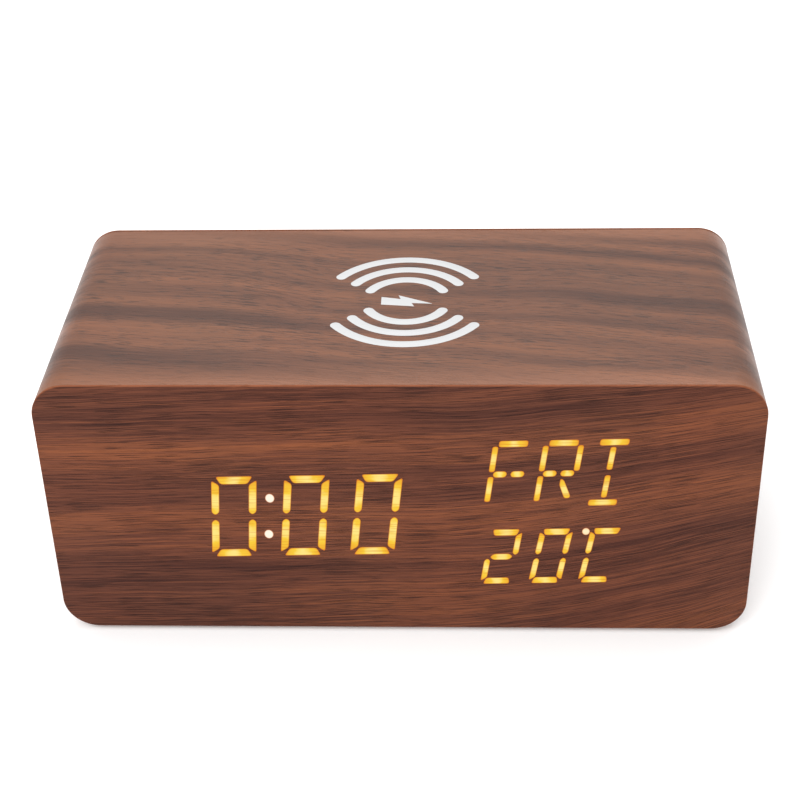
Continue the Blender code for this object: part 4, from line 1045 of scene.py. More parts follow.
def build_buttons():
    """Three buttons, each a turned cap with a raised sign on its face, a flange and a stem. The face is
    dished by the square of the radius. Under each are a plunger and a square switch that it sinks into."""
    dip = 0.28 * MM
    signs = {
        "set": [circle(1.05 * MM, 32)],
        "up": [softened(polygon((-1.35, -0.8), (1.35, -0.8), (0, 1.45)), 0.3 * MM)],
        "down": [softened(polygon((-1.35, 0.8), (1.35, 0.8), (0, -1.45)), 0.3 * MM)],
    }
    for name, x in BUTTON_X.items():
        low, high, _ = extent(f"{name}_button")
        face, tip = high[1], low[1]
        at = facing("rear", (x, 0, UPPER_ROW))
        rounding = [(3.5 * MM - i, face - d) for i, d in soft_edge(0.5 * MM, 5)]
        dish = [(r * MM, face - dip * (1 - (r / 3) ** 2)) for r in (2.6, 2.0, 1.3, 0.6)]
        flange = ((1.7, 1.2), (4.5, 1.2), (4.6, 1.1), (4.6, 0.4))
        profile = [(0, tip), (1.6 * MM, tip), (1.7 * MM, tip + 0.1 * MM)]
        profile += [(radius * MM, PANEL_Y - below * MM) for radius, below in flange]
        profile += [(4.5 * MM, PANEL_Y - GAP), (3.5 * MM, PANEL_Y - GAP), *rounding, *dish, (0, face - dip)]
        shells = Shells().turn(profile, at)
        for sign in signs[name]:
            shells.prism(sign, face - 0.5 * MM, face - 0.06 * MM, 0.06 * MM, at)
        body = f"{name}_key"
        shells.build(f"{name}_cap", moulded("satin_black"), body, "button_black", [f"{name}_button"])

        low, high, _ = extent(f"{name}_plunger")
        radius = 1.7 * MM
        rim = [(radius - i, high[1] - d) for i, d in soft_edge(0.25 * MM)]
        shells = Shells().turn([(0, low[1]), (radius, low[1]), *rim, (0, high[1])], at, 32)
        shells.build(f"{name}_stem", moulded("satin_black"), body, "switch_black", [f"{name}_plunger"])

        low, high, _ = extent(f"{name}_switch")
        side, base, top = high[0] - low[0], low[1], high[1]
        foot = side - 0.5 * MM
        bore = [(circle(1.95 * MM, 32), [(0, top - 1.4 * MM)])]
        housing = rounded_rect(side, side, 0.5 * MM, 4)
        shells = Shells().plate(housing, bore, base + 0.3 * MM, top, 0.12 * MM, at)
        footing = rounded_rect(foot, foot, 0.4 * MM, 4)
        shells.plate(footing, [], base + 0.02 * MM, base + 0.4 * MM, 0.05 * MM, at)
        shells.build(f"{name}_tact", moulded("satin_black"), "case", "switch_black", [f"{name}_switch"])


def build_sound_switch():
    """The slide switch. The knob is a ribbed thumb piece on a wide shoulder, with a lever into the can. Its
    crown is a cosine wave across the middle, and falls away at both sides by a square."""
    low, high, middle = extent("sound_switch_frame")
    at = facing("rear", (middle[0], 0, middle[2]))
    can = rounded_rect(high[0] - low[0], high[2] - low[2], 0.4 * MM, 4)
    slot = rounded_rect(5.2 * MM, 2.0 * MM, 0.2 * MM, 3)
    shells = Shells().plate(can, [(slot, [(0, high[1] - 2.4 * MM)])], low[1], high[1], 0.15 * MM, at)
    shells.build("sound_switch_can", metal("steel"), "case", "bright_steel", ["sound_switch_frame"])

    low, high, middle = extent("sound_switch_knob")
    at = facing("rear", (middle[0], 0, middle[2]))
    shells = Shells()
    shoulder = rounded_rect(12.4 * MM, 5 * MM, 0.4 * MM, 4)
    shells.prism(shoulder, PANEL_Y - 1.2 * MM, PANEL_Y - GAP, 0.1 * MM, at)
    lever = rounded_rect(1.6 * MM, 1.5 * MM, 0.2 * MM, 3)
    shells.prism(lever, low[1], PANEL_Y - 1.0 * MM, 0.1 * MM, at)
    across = np.linspace(-1.9, 1.9, 39) * MM
    wave = 0.5 + 0.5 * np.cos(math.tau * across / (1.0 * MM))
    crown = high[1] - 0.3 * MM * wave * (np.abs(across) < 1.5 * MM)
    crown -= 0.25 * MM * np.clip(np.abs(across) / MM - 1.65, 0, 1) ** 2 / 0.06
    foot = PANEL_Y - 0.6 * MM
    section = np.vstack([[(across[0], foot)], [(across[-1], foot)], np.column_stack([across, crown])[::-1]])
    ends = [(0.35, -1.3), (0.1, -1.22), (0.0, -1.0), (0.0, 1.0), (0.1, 1.22), (0.35, 1.3)]
    rings = []
    for sunk, z in ends:
        level = np.where(section[:, 1] > foot, section[:, 1] - sunk * MM, foot)
        rings.append(np.column_stack([section[:, 0], np.full(len(section), z * MM), level]))
    shells.loft(rings, at)
    shells.build("sound_knob", moulded("satin_black"), "sound_slider", "button_black", ["sound_switch_knob"])


def build_battery():
    """The coin cell, whose two cans meet in a sealing ring, its two sprung contacts and the door."""
    at = facing("rear", (CELL_MID[0], 0, CELL_MID[2]))
    low, high, radius = CELL_LOW[1], CELL_HIGH[1], (CELL_HIGH[0] - CELL_LOW[0]) / 2
    inner = radius - 1.2 * MM
    crimp = ((-0.4, 0), (-0.1, 0.1), (0, 0.45), (0.15, 0.5), (0.3, 0.45))
    profile = [(0, low)] + [(inner + out * MM, low + up * MM) for out, up in crimp]
    profile += [(radius - 0.3 * MM, low + 0.5 * MM), (radius, low + 0.8 * MM)]
    profile += [(radius - i, high - d) for i, d in soft_edge(0.4 * MM)]
    profile += [(radius - 1.6 * MM, high), (radius - 1.75 * MM, high - 0.05 * MM), (0, high - 0.05 * MM)]
    shells = Shells().turn(profile, at, 72)
    plus = plus_sign(1.6, 0.4) + (0, 5 * MM)
    shells.prism(plus, high - 0.2 * MM, high - 0.01 * MM, 0.02 * MM, at)
    shells.build("coin_cell", metal("steel"), "case", "bright_steel", ["battery_cell"])
    dress(metal("brass"), "battery_contact_minus", "battery_contact_plus")

    at = facing("rear", (DOOR_MID[0], 0, MID_Z))
    face, back = DOOR_HIGH[1], PANEL_Y + GAP
    outline = rounded_rect(DOOR_HIGH[0] - DOOR_LOW[0], DOOR_HEIGHT, 1.7 * MM)
    groove = rounded_rect(9 * MM, 2.2 * MM, 1.05 * MM, 8) + (0, -DOOR_HEIGHT / 2 + 3.4 * MM)
    dip = [(0.25 * MM, face - 0.9 * MM), (0.08 * MM, face - 0.75 * MM), (0, face - 0.55 * MM)]
    shells = Shells().plate(outline, [(groove, dip)], back, face, 0.25 * MM, at)
    arrow = polygon((-1.6, 6.4), (1.6, 6.4), (0, 8.8))
    shells.prism(softened(arrow, 0.3 * MM), face - 0.1 * MM, face + 0.15 * MM, 0.08 * MM, at)
    tab = rounded_rect(4 * MM, 1 * MM, 0.2 * MM, 3)
    for x in (-6, 6):
        spot = (x * MM, BAY_SIDE / 2 - 0.8 * MM)
        shells.prism(tab + spot, back - 2 * MM, back + 0.3 * MM, 0.15 * MM, at)
    shells.build("bay_door", moulded("black"), "door", "panel_black", ["battery_door"])


def plus_sign(reach, half):
    """A plus sign about (0, 0): how far its arms reach and half their width, in millimetres."""
    upper = [(reach, half), (half, half), (half, reach), (-half, reach), (-half, half), (-reach, half)]
    return polygon(*upper, *[(-x, -y) for x, y in upper])


def build_inlet():
    """The power socket: a drawn steel shell, which is a section carried round an outline, and an insulator
    whose tongue has gold contacts on both sides."""
    at = facing("rear", (INLET_MID[0], 0, INLET_MID[2]))
    width, height = INLET_HIGH[0] - INLET_LOW[0], INLET_HIGH[2] - INLET_LOW[2]
    outline = rounded_rect(width, height, height / 2 - 0.02 * MM, 10)
    low, high, wall = INLET_LOW[1], INLET_HIGH[1], 0.3 * MM
    lip, soft = high - 0.12 * MM, 0.05 * MM
    section = [(0, low), (0, lip), (soft, high), (wall - soft, high), (wall, lip), (wall, low)]
    shells = Shells().loft([ring(inset(outline, i), level) for i, level in section], at, closed=True)
    shells.build("socket_shell", metal("steel"), "case", "bright_steel", ["inlet_shell"])

    low, high, _ = extent("inlet_core")
    base = rounded_rect(width - 0.8 * MM, height - 0.8 * MM, height / 2 - 0.42 * MM, 8)
    shells = Shells().prism(base, low[1], low[1] + 2.1 * MM, 0.1 * MM, at)
    tongue = rounded_rect(6.69 * MM, 0.7 * MM, 0.15 * MM, 3)
    shells.prism(tongue, low[1] + 1.5 * MM, high[1], 0.12 * MM, at)
    shells.build("socket_core", moulded("satin_black"), "case", "switch_black", ["inlet_core"])
    shells = Shells()
    for side in (-1, 1):
        for number in range(12):
            pad = rectangle(0.25 * MM, 0.06 * MM) + ((number - 5.5) * 0.5 * MM, side * 0.36 * MM)
            short = 0.9 if number % 3 == 1 else 0.5
            shells.prism(pad, low[1] + 2.4 * MM, high[1] - short * MM, 0, at)
    shells.build("socket_contacts", metal("gold"), "case", "contact_brass")


# ---------------------------------------------------------------- display module


def part(shells, name, finish, slot, *nodes):
    """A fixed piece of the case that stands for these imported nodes."""
    return shells.build(name, finish, "case", slot, nodes)


def build_display():
    """Behind the front sheet: a thin diffuser, the white mask whose bar openings give the characters their
    shape, and the board whose small lamps light them."""
    low, high, _ = extent("diffuser_film")
    width, height = 106 * MM, 42 * MM
    shells = Shells().prism(rounded_rect(width, height, 0.6 * MM, 4), low[1], high[1], 0.05 * MM, module())
    part(shells, "diffuser", moulded("film"), "diffuser", "diffuser_film")

    low, high, _ = extent("light_mask")
    groups = (
        (seven_bars(*TIME_SIZE, 1.8, 1.6, 0.5), 4, TIME_START, TIME_PITCH, TIME_LEVEL, 6.7),
        (letter_bars(*WEEKDAY_SIZE, 1.4, 1.2), 3, WEEKDAY_START, WEEKDAY_PITCH, WEEKDAY_LEVEL, 8.2),
        (seven_bars(*DEGREE_SIZE, 1.4, 1.2, 0.25), 3, 25.25, 10.62, DEGREE_LEVEL, 10.2),
    )
    openings = []
    for bars, count, start, pitch, level, lean in groups:
        for number in range(count):
            spot = (math.radians(lean), start + pitch * number, level)
            openings += [inset(leaned(bar, *spot), 0.12 * MM) for bar in bars.values()]
    dots = ((-23.21, 3.98), (-24.23, -5.58), DEGREE_POINT)
    openings += [circle(0.8 * MM, 16) + np.array(dot) * MM for dot in dots]
    holes = [(shape, [(0, -high[1])]) for shape in openings]
    at = module("front")
    shells = Shells().plate(rounded_rect(width, height, 0.8 * MM, 4), holes, -high[1], -low[1], 0.05 * MM, at)
    part(shells, "mask", moulded("white"), "white_plastic", "light_mask")

    low, high, _ = extent("display_board")
    corners = [(sx * MM, sz * MM) for sx in (-58, 58) for sz in (-19, 19)]
    build_board("light_board", "display_board", low[1], high[1], (122 * MM, 46 * MM), corners, module())
    shells = Shells()
    for shape in openings:
        lamp = rectangle(0.8 * MM, 0.5 * MM) + shape.mean(0)
        shells.prism(lamp, -low[1], -low[1] + 0.18 * MM, 0, at)
    part(shells, "small_lamps", moulded("film"), "diffuser")

    low, high, middle = extent("driver_chip")
    at = facing("rear", (middle[0], low[1] - 0.1 * MM, middle[2]), TILT)
    body, reach = (10.4 * MM, 10.4 * MM), (12 * MM, 12 * MM)
    build_chip("driver", "driver_chip", body, reach, high[1] - low[1], 12, 4, at)
    dress(moulded("white"), "display_header", "control_header")


def build_board(name, node, low, high, size, drill, at, across="Y"):
    """A circuit board: a thin plate with rounded corners and drilled holes."""
    holes = [(circle(1.3 * MM, 20) + spot, [(0, low)]) for spot in drill]
    shells = Shells().plate(rounded_rect(*size, 1.5 * MM, 6), holes, low, high, 0.06 * MM, at)
    return part(shells, name, circuit_board(across), "circuit_board", node)


def build_chip(name, node, body, reach, thick, pins, sides, at):
    """A chip: a moulded body with a dimple by its first leg, and bent legs out to a wider outline, on two
    or four sides. Heights are from the board."""
    width, height = body
    top = thick + 0.1 * MM
    dimple = circle(0.4 * MM, 16) + (-width / 2 + 1.2 * MM, height / 2 - 1.2 * MM)
    outline = rounded_rect(width, height, 0.2 * MM, 3)
    shells = Shells().plate(outline, [(dimple, [(0, top - 0.1 * MM)])], 0.12 * MM, top, 0.1 * MM, at)
    part(shells, f"{name}_body", moulded("chip"), "chip", node)
    shells = Shells()
    rise, foot, thin = 0.45 * top, 0.1 * MM, 0.12 * MM
    for side in range(sides):
        angle = side * math.tau / sides + (math.pi / 2 if sides == 2 else 0)
        out = np.array([math.cos(angle), math.sin(angle)])
        along = np.array([-math.sin(angle), math.cos(angle)])
        near, far, run = (abs(out @ np.array(size)) for size in (body, reach, body[::-1]))
        bend = [(near / 2 - 0.2 * MM, rise), (near / 2 + 0.2 * MM, rise)]
        bend += [(far / 2 - 0.5 * MM, foot), (far / 2, foot)]
        for spot in np.linspace(-0.5, 0.5, pins) * (run - 1.2 * MM):
            left, right = spot - 0.16 * MM, spot + 0.16 * MM
            section = [(left, 0), (right, 0), (right, thin), (left, thin)]
            rings = [[(*(d * out + s * along), level + up) for s, up in section] for d, level in bend]
            shells.loft(rings, at)
    part(shells, f"{name}_legs", metal("steel"), "bright_steel")


# ---------------------------------------------------------------- control board


def build_control_board():
    """The control board with its chip, clock crystal, capacitor, buzzer, microphone and bead thermistor."""
    drill = [(x * MM, z * MM) for x, z in SCREWED_PILLARS]
    at = facing("rear", (0, 0, MID_Z))
    build_board("main_board", "control_board", UNDER_BOARD, ON_BOARD, (104 * MM, 38 * MM), drill, at)

    low, high, middle = extent("controller_chip")
    width, thick, height = high - low
    at = facing("front", (middle[0], UNDER_BOARD, middle[2]))
    body = (width, height - 2 * MM)
    build_chip("controller", "controller_chip", body, (width, height), thick, 24, 2, at)

    low, high, middle = extent("clock_crystal")
    width, thick, height = high - low
    at = facing("front", (middle[0], UNDER_BOARD, middle[2]))
    can = rounded_rect(width, height, height / 2 - 0.05 * MM, 12)
    brim = [(0, 0.1 * MM), (0, 0.45 * MM), (0.25 * MM, 0.5 * MM)]
    crown = [(0.25 * MM + i, thick - d) for i, d in soft_edge(0.5 * MM)]
    shells = Shells().loft([ring(inset(can, i), level) for i, level in [*brim, *crown]], at)
    part(shells, "crystal_can", metal("steel"), "bright_steel", "clock_crystal")

    low, high, middle = extent("filter_capacitor")
    tall, radius = high[1] - low[1], (high[0] - low[0]) / 2
    neck = 1.6 * MM
    profile = [(0, 0.1 * MM), (radius - 0.2 * MM, 0.1 * MM), (radius, 0.3 * MM), (radius, neck - 0.4 * MM)]
    groove = [(0.3 * MM * math.sin(t), 0.4 * MM * math.cos(t)) for t in np.linspace(0.4, 2.8, 5)]
    profile += [(radius - i, neck - d) for i, d in groove]
    profile += [(radius, neck + 0.4 * MM)] + [(radius - i, tall - d) for i, d in soft_edge(0.4 * MM)]
    profile += [(radius - 0.8 * MM, tall), (radius - 0.9 * MM, tall - 0.12 * MM), (0, tall - 0.12 * MM)]
    at = facing("front", (middle[0], UNDER_BOARD, middle[2]))
    part(Shells().turn(profile, at), "capacitor", moulded("sleeve"), "switch_black", "filter_capacitor")

    low, high, middle = extent("buzzer")
    top, radius = high[1], (high[0] - low[0]) / 2
    at = facing("rear", (middle[0], 0, middle[2]))
    profile = [(0, low[1]), (radius - 0.1 * MM, low[1]), (radius, low[1] + 0.1 * MM)]
    profile += [(radius - i, top - d) for i, d in soft_edge(0.5 * MM)] + [(1.45 * MM, top)]
    profile += [(1.25 * MM, top - 0.1 * MM), (1.2 * MM, top - 2 * MM), (0, top - 2 * MM)]
    part(Shells().turn(profile, at), "sounder", moulded("satin_black"), "switch_black", "buzzer")

    low, high, middle = extent("microphone")
    top, radius = high[1], (high[0] - low[0]) / 2
    at = facing("rear", (middle[0], 0, middle[2]))
    rim = [(radius - i, top - d) for i, d in soft_edge(0.25 * MM)]
    sunk, hole = top - 0.2 * MM, top - 0.6 * MM
    profile = [(0, low[1]), (radius - 0.05 * MM, low[1]), *rim, (2.35 * MM, top)]
    profile += [(2.3 * MM, sunk), (0.5 * MM, sunk), (0.45 * MM, hole), (0, hole)]
    part(Shells().turn(profile, at), "capsule", metal("steel"), "bright_steel", "microphone")

    low, high, middle = extent("temp_sensor")
    radius = (high[0] - low[0]) / 2
    bead_y = high[1] - radius
    at = facing("rear", (middle[0], 0, middle[2]))
    turn = np.linspace(0, math.pi, 17)
    profile = np.column_stack([radius * np.sin(turn), bead_y - radius * np.cos(turn)])
    shells = Shells().turn(profile, at, 32)
    share = np.linspace(0, 1, 9)
    for side in (-1, 1):
        across, rise = side * (0.7 - 0.2 * share) * MM, low[1] + share * (bead_y - low[1])
        shells.tube(np.column_stack([across, 0 * share, rise]), 0.2 * MM, 10, at)
    part(shells, "thermistor", moulded("satin_black"), "switch_black", "temp_sensor")


# ---------------------------------------------------------------- wireless charger

BOARD_UNDERSIDE = extent("charger_board")[0][2]


def build_charger():
    """The charger under the top: a coil wound flat in two layers over a ferrite disc, the tray that holds
    them, and a small board with its chip and choke."""
    low, high, middle = extent("charging_coil")
    wire = (high[2] - low[2]) / 4
    outer, inner = (high[0] - low[0]) / 2 - wire, 10 * MM + wire
    turns = math.floor((outer - inner) / (2.05 * wire))
    angle = np.linspace(0, math.tau * turns, 56 * turns + 1)
    radius = inner + (outer - inner) * angle / angle[-1]
    at = facing("top", (middle[0], middle[1], 0))
    shells = Shells()
    for level, way in ((low[2] + wire, 1), (high[2] - wire, -1)):
        x, y = radius * np.cos(way * angle), radius * np.sin(way * angle)
        shells.tube(np.column_stack([x, y, np.full(len(angle), level)]), 0.96 * wire, 8, at)
    part(shells, "coil", wound_wire(), "copper", "charging_coil")

    low, high, middle = extent("ferrite_sheet")
    radius = (high[0] - low[0]) / 2
    rim = soft_edge(0.15 * MM)
    profile = [(0, low[2])] + [(radius - i, low[2] + d) for i, d in reversed(rim)]
    profile += [(radius - i, high[2] - d) for i, d in rim] + [(0, high[2])]
    part(Shells().turn(profile, at, 72), "ferrite", moulded("ferrite"), "ferrite", "ferrite_sheet")
    dress(moulded("white"), "coil_tray")

    low, high, middle = extent("charger_board")
    at = facing("top", (middle[0], middle[1], 0))
    size = (high - low)[:2]
    build_board("power_board", "charger_board", low[2], high[2], size, [(0, 13 * MM)], at, "Z")
    low, high, middle = extent("charger_chip")
    at = facing("base", (middle[0], middle[1], BOARD_UNDERSIDE))
    build_chip("charger", "charger_chip", (5.4 * MM, 5.4 * MM), (7 * MM, 7 * MM), high[2] - low[2], 8, 4, at)

    low, high, middle = extent("charger_choke")
    side, tall = high[0] - low[0], high[2] - low[2]
    at = facing("base", (middle[0], middle[1], BOARD_UNDERSIDE))
    flange = rounded_rect(side, side, 1.8 * MM, 6)
    shells = Shells().prism(flange, 0.1 * MM, 1.0 * MM, 0.1 * MM, at)
    shells.prism(flange, tall - 0.7 * MM, tall, 0.15 * MM, at)
    shells.prism(circle(1.6 * MM, 24), 0.8 * MM, tall - 0.5 * MM, 0, at)
    part(shells, "choke_core", moulded("ferrite"), "ferrite", "charger_choke")
    wraps, gauge = 8, 0.14 * MM
    angle = np.linspace(0, math.tau * wraps, 32 * wraps + 1)
    level = np.linspace(1.0 * MM + gauge, tall - 0.7 * MM - gauge, len(angle))
    coil_r = 2.9 * MM
    path = np.column_stack([coil_r * np.cos(angle), coil_r * np.sin(angle), level])
    part(Shells().tube(path, gauge, 8, at), "choke_winding", wound_wire(), "copper")


# ---------------------------------------------------------------- leads


def smooth_path(route, per_span=12):
    """Points on a smooth curve (Catmull-Rom) through a route's points."""
    route = np.array(route, float)
    ends = np.vstack([2 * route[0] - route[1], route, 2 * route[-1] - route[-2]])
    a, b, c, d = (ends[k : len(ends) - 3 + k, None] for k in range(4))
    t = np.linspace(0, 1, per_span, endpoint=False)[None, :, None]
    curve = b + 0.5 * ((c - a) * t + (2 * a - 5 * b + 4 * c - d) * t**2 + (3 * b - a - 3 * c + d) * t**3)
    return np.vstack([curve.reshape(-1, 3), route[-1:]])


def build_leads():
    """Two power leads up to the charger board, through points in millimetres from the body's middle, and
    the flat ribbon that hangs between the two sockets. The ribbon dips by the square of a sine, and each of
    its cores is half a sine wave across."""
    start, end = UNDER_BOARD - GAP, (BOARD_UNDERSIDE - GAP - MID_Z) / MM
    y = start / MM
    route = [(-44, y, -8), (-44, y - 5, -7.6), (-43, y - 11, -1), (-35, y - 15, 9)]
    route += [(-22, y - 16, 15), (-15, y - 14, 17.5), (-14, y - 14, end)]
    at = facing("top", (0, 0, MID_Z))
    for colour, kind, beside in (("red", "red", 0), ("black", "satin_black", 1)):
        points = np.array(route) + np.array((2.0, -1.6, -1.2)) * beside
        points[0, 1], points[-1, 2] = y, end
        shells = Shells().tube(smooth_path(points) * MM, 0.69 * MM, 14, at)
        part(shells, f"{colour}_lead", moulded(kind), f"{colour}_insulation", f"power_lead_{colour}")

    low, high, middle = extent("ribbon_cable")
    cores, half = 12, (high[0] - low[0]) / 2
    share = np.linspace(0, 1, 61)
    eased = np.clip((share - 0.15) / 0.7, 0, 1)
    level = MID_Z - 9.1 * MM
    dip = 9 * MM * np.sin(math.pi * eased) ** 2
    bow = np.column_stack([low[1] + share * (high[1] - low[1]), level - dip])
    ahead = np.gradient(bow, axis=0)
    ahead /= np.linalg.norm(ahead, axis=1, keepdims=True)
    normal = np.column_stack([-ahead[:, 1], ahead[:, 0]])
    across = np.linspace(-half, half, 6 * cores + 1)
    crown = 0.2 * MM + 0.22 * MM * np.abs(np.sin(math.pi * cores * (across + half) / (2 * half)))
    u, w = np.concatenate([across, across[::-1]]), np.concatenate([-crown, crown[::-1]])
    rings = [np.column_stack([u + middle[0], p[0] + w * n[0], p[1] + w * n[1]]) for p, n in zip(bow, normal)]
    shells = Shells().loft(rings, facing("top"))
    part(shells, "ribbon", moulded("grey"), "grey_insulation", "ribbon_cable")


# ---------------------------------------------------------------- screws


def build_screws():
    """Every screw. Each kind has a count, the way its head faces, whether its head is at the high or the low
    end, and in millimetres its head's radius and height and its shank's radius and length."""
    kinds = (
        ("panel", 4, "rear", 1, (2.55, 1.2, 1.1, 6.5)),
        ("display", 4, "rear", 1, (2.1, 1.4, 0.95, 5.6)),
        ("board", 2, "front", -1, (2.0, 1.3, 0.95, 5.5)),
        ("tray", 2, "base", -1, (2.1, 1.4, 0.95, 5.0)),
    )
    for kind, count, towards, sign, millimetres in kinds:
        size = [value * MM for value in millimetres]
        for number in range(1, count + 1):
            node = f"{kind}_screw_{number}"
            low, high, middle = extent(node)
            axis = 2 if towards == "base" else 1
            origin = middle.copy()
            origin[axis] = (high if sign > 0 else low)[axis] - sign * size[1]
            shells = screw_shell(Shells(), *size, facing(towards, origin, 0.5 * number))
            part(shells, f"{kind}_fixing_{number}", metal("steel"), "screw_steel", node)


def screw_shell(shells, head_r, head_t, shank_r, shank, at, steps=56):
    """A pan head with a cross recess over a threaded shank, as rings out over the dome and down to the tip.
    The dome falls by a power of the radius, and the recess sinks it near either of two lines at right
    angles. The thread is a ridge in the radius, whose height down the shank is one pitch for each turn."""
    angle = np.linspace(0, math.tau, steps, endpoint=False)
    c, s = np.cos(angle), np.sin(angle)
    rings = []
    for share in (0.02, 0.12, 0.2, 0.28, 0.36, 0.44, 0.5, 0.54, 0.58, 0.66, 0.76, 0.86, 0.94, 1.0):
        r = share * head_r
        arm = np.minimum(np.abs(c), np.abs(s)) * share
        sunk = np.clip((0.17 - arm) / 0.05, 0, 1) * np.clip((0.6 - share) / 0.06, 0, 1)
        level = head_t * (1 - 0.5 * share**2.6) - 0.55 * head_t * sunk
        rings.append(np.column_stack([r * c, r * s, level]))
    for r, level in ((head_r, 0.12 * head_t), (0.97 * head_r, 0), (shank_r, 0)):
        rings.append(np.column_stack([r * c, r * s, np.full(steps, level)]))
    pitch = 0.8 * MM
    for level in np.linspace(-0.3 * MM, 0.6 * shank_r - shank, 40):
        ridge = np.abs((angle / math.tau - level / pitch) % 1 - 0.5)
        r = shank_r * (0.86 + 0.14 * np.clip(3 * ridge - 0.5, 0, 1))
        rings.append(np.column_stack([r * c, r * s, np.full(steps, level)]))
    rings.append(np.column_stack([0.1 * shank_r * c, 0.1 * shank_r * s, np.full(steps, -shank)]))
    return shells.loft(rings, at)


# ---------------------------------------------------------------- settings


def length(name, description, millimetres):
    """A length, given in millimetres and kept in metres."""
    unit = {"unit": "LENGTH", "subtype": "DISTANCE"}
    return FloatProperty(name=name, description=description, default=millimetres * MM, min=0.0, **unit)


def amount(name, description, default, **limits):
    """A plain number that isn't below zero."""
    return FloatProperty(name=name, description=description, default=default, min=0.0, **limits)


def paint(name, description, code):
    """A colour, given as RRGGBB."""
    kind = {"min": 0.0, "max": 1.0, "size": 3, "subtype": "COLOR"}
    return FloatVectorProperty(name=name, description=description, default=shade(code), **kind)


class AlarmClockSizes(bpy.types.PropertyGroup):
    """Sizes, light levels and gloss"""

    edge_round: length("Edge rounding", "Radius of the rounded rim of the front and rear sheets", 0.22)
    mark_stroke: length("Mark stroke", "Width of the lines of the charging mark", 2.28)
    dot_radius: length("Dot radius", "Radius of the two dots between hours and minutes", 1.05)
    brightness: amount("Brightness", "How strongly the characters shine", 1.0, subtype="FACTOR")
    front_gloss: amount("Front gloss", "How much the front sheet reflects", 0.12, max=1.0)
    room_light: amount("Room light", "Strength of the even light", 0.8)
    lamp_light: amount("Lamp light", "Strength of the two lamps", 1.0)


class AlarmClockColours(bpy.types.PropertyGroup):
    """Colours of the wood, the light and the plastic"""

    walnut: paint("Front wood", "Middle colour of the front and rear sheets", "5E3526")
    walnut_dark: paint("Front wood, dark", "Colour of the dark bands", "3A1E18")
    walnut_light: paint("Front wood, light", "Colour of the light bands", "7E482C")
    wrap: paint("Side wood", "Middle colour of the top, sides and underside", "613B27")
    wrap_dark: paint("Side wood, dark", "Colour of the dark bands", "492A1C")
    wrap_light: paint("Side wood, light", "Colour of the light bands", "76492F")
    print_ink: paint("Print", "Colour of the charging mark", "BFC0C1")
    glow: paint("Glow", "Colour of a lit bar's middle", "FFDC42")
    glow_end: paint("Glow, ends", "Colour of a lit bar's ends", "F0A624")
    glow_rim: paint("Glow, rim", "Colour of a lit bar's rim", "D8701C")
    panel: paint("Plastic", "Colour of the rear panel and the battery door", "1E1E20")
    floor: paint("Floor", "Colour of the floor", "F8F8F8")


# ---------------------------------------------------------------- operators


class ALARMCLOCK_OT_stage(bpy.types.Operator):
    """Makes the floor, the lights and the camera"""

    bl_idname = "alarm_clock.stage"
    bl_label = "Stage"

    def execute(self, context):
        build_stage()
        return {"FINISHED"}


class ALARMCLOCK_OT_body(bpy.types.Operator):
    """Makes the front, the rear and the skin round the loop, and finishes the core"""

    bl_idname = "alarm_clock.body"
    bl_label = "Wooden body"

    def execute(self, context):
        build_front()
        build_rear()
        build_wrap()
        finish_core()
        return {"FINISHED"}


class ALARMCLOCK_OT_feet(bpy.types.Operator):
    """Makes the four rubber feet"""

    bl_idname = "alarm_clock.feet"
    bl_label = "Feet"

    def execute(self, context):
        build_feet()
        return {"FINISHED"}


class ALARMCLOCK_OT_mark(bpy.types.Operator):
    """Makes the white print on the top"""

    bl_idname = "alarm_clock.mark"
    bl_label = "Charging mark"

    def execute(self, context):
        build_mark()
        return {"FINISHED"}


class ALARMCLOCK_OT_lights(bpy.types.Operator):
    """Makes the time, the weekday and the temperature"""

    bl_idname = "alarm_clock.lights"
    bl_label = "Lit characters"

    def execute(self, context):
        build_lights()
        return {"FINISHED"}


class ALARMCLOCK_OT_display(bpy.types.Operator):
    """Makes the diffuser, the light mask and the board behind them"""

    bl_idname = "alarm_clock.display"
    bl_label = "Display module"

    def execute(self, context):
        build_display()
        return {"FINISHED"}


class ALARMCLOCK_OT_panel(bpy.types.Operator):
    """Makes the rear panel with its openings, pillars and battery bay"""

    bl_idname = "alarm_clock.panel"
    bl_label = "Rear panel"

    def execute(self, context):
        build_panel()
        return {"FINISHED"}


class ALARMCLOCK_OT_buttons(bpy.types.Operator):
    """Makes the three buttons and the switches under them"""

    bl_idname = "alarm_clock.buttons"
    bl_label = "Buttons"

    def execute(self, context):
        build_buttons()
        return {"FINISHED"}


class ALARMCLOCK_OT_sound_switch(bpy.types.Operator):
    """Makes the slide switch and its knob"""

    bl_idname = "alarm_clock.sound_switch"
    bl_label = "Sound switch"

    def execute(self, context):
        build_sound_switch()
        return {"FINISHED"}


class ALARMCLOCK_OT_battery(bpy.types.Operator):
    """Makes the coin cell, its contacts and the door over them"""

    bl_idname = "alarm_clock.battery"
    bl_label = "Battery"

    def execute(self, context):
        build_battery()
        return {"FINISHED"}


class ALARMCLOCK_OT_inlet(bpy.types.Operator):
    """Makes the power socket"""

    bl_idname = "alarm_clock.inlet"
    bl_label = "Power inlet"

    def execute(self, context):
        build_inlet()
        return {"FINISHED"}


class ALARMCLOCK_OT_control(bpy.types.Operator):
    """Makes the control board and what is soldered to it"""

    bl_idname = "alarm_clock.control"
    bl_label = "Control board"

    def execute(self, context):
        build_control_board()
        return {"FINISHED"}


class ALARMCLOCK_OT_charger(bpy.types.Operator):
    """Makes the coil, its ferrite, its tray and its board"""

    bl_idname = "alarm_clock.charger"
    bl_label = "Wireless charger"

    def execute(self, context):
        build_charger()
        return {"FINISHED"}


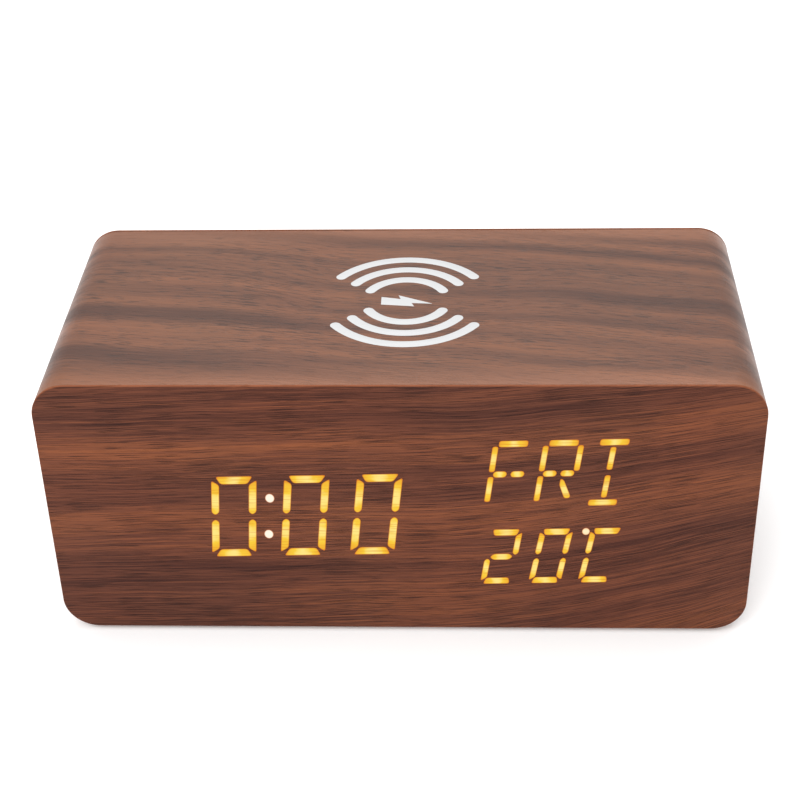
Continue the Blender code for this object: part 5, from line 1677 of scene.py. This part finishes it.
class ALARMCLOCK_OT_leads(bpy.types.Operator):
    """Makes the power leads and the ribbon cable"""

    bl_idname = "alarm_clock.leads"
    bl_label = "Leads"

    def execute(self, context):
        build_leads()
        return {"FINISHED"}


class ALARMCLOCK_OT_screws(bpy.types.Operator):
    """Makes every screw"""

    bl_idname = "alarm_clock.screws"
    bl_label = "Screws"

    def execute(self, context):
        build_screws()
        return {"FINISHED"}


STEPS = (
    ALARMCLOCK_OT_stage,
    ALARMCLOCK_OT_body,
    ALARMCLOCK_OT_feet,
    ALARMCLOCK_OT_mark,
    ALARMCLOCK_OT_lights,
    ALARMCLOCK_OT_display,
    ALARMCLOCK_OT_panel,
    ALARMCLOCK_OT_buttons,
    ALARMCLOCK_OT_sound_switch,
    ALARMCLOCK_OT_battery,
    ALARMCLOCK_OT_inlet,
    ALARMCLOCK_OT_control,
    ALARMCLOCK_OT_charger,
    ALARMCLOCK_OT_leads,
    ALARMCLOCK_OT_screws,
)


class ALARMCLOCK_PT_sidebar(bpy.types.Panel):
    """Settings of the alarm clock, and the steps that build it"""

    bl_label = "Alarm clock"
    bl_space_type = "VIEW_3D"
    bl_region_type = "UI"
    bl_category = "Alarm clock"

    def draw(self, context):
        for settings in (sizes(), colours()):
            box = self.layout.box()
            for name in settings.__annotations__:
                box.prop(settings, name)
        column = self.layout.column()
        for step in STEPS:
            column.operator(step.bl_idname)


CLASSES = (AlarmClockSizes, AlarmClockColours, *STEPS, ALARMCLOCK_PT_sidebar)


def register():
    """Adds the settings, the steps and the sidebar."""
    for entry in CLASSES:
        bpy.utils.register_class(entry)
    bpy.types.Scene.alarm_clock_sizes = PointerProperty(type=AlarmClockSizes)
    bpy.types.Scene.alarm_clock_colours = PointerProperty(type=AlarmClockColours)


def unregister():
    """Takes them away again, in the opposite order."""
    del bpy.types.Scene.alarm_clock_colours
    del bpy.types.Scene.alarm_clock_sizes
    for entry in reversed(CLASSES):
        bpy.utils.unregister_class(entry)


def main():
    """Builds the clock step by step."""
    register()
    for step in STEPS:
        family, name = step.bl_idname.split(".")
        getattr(getattr(bpy.ops, family), name)()
    bpy.context.view_layer.update()


if __name__ == "__main__":
    main()
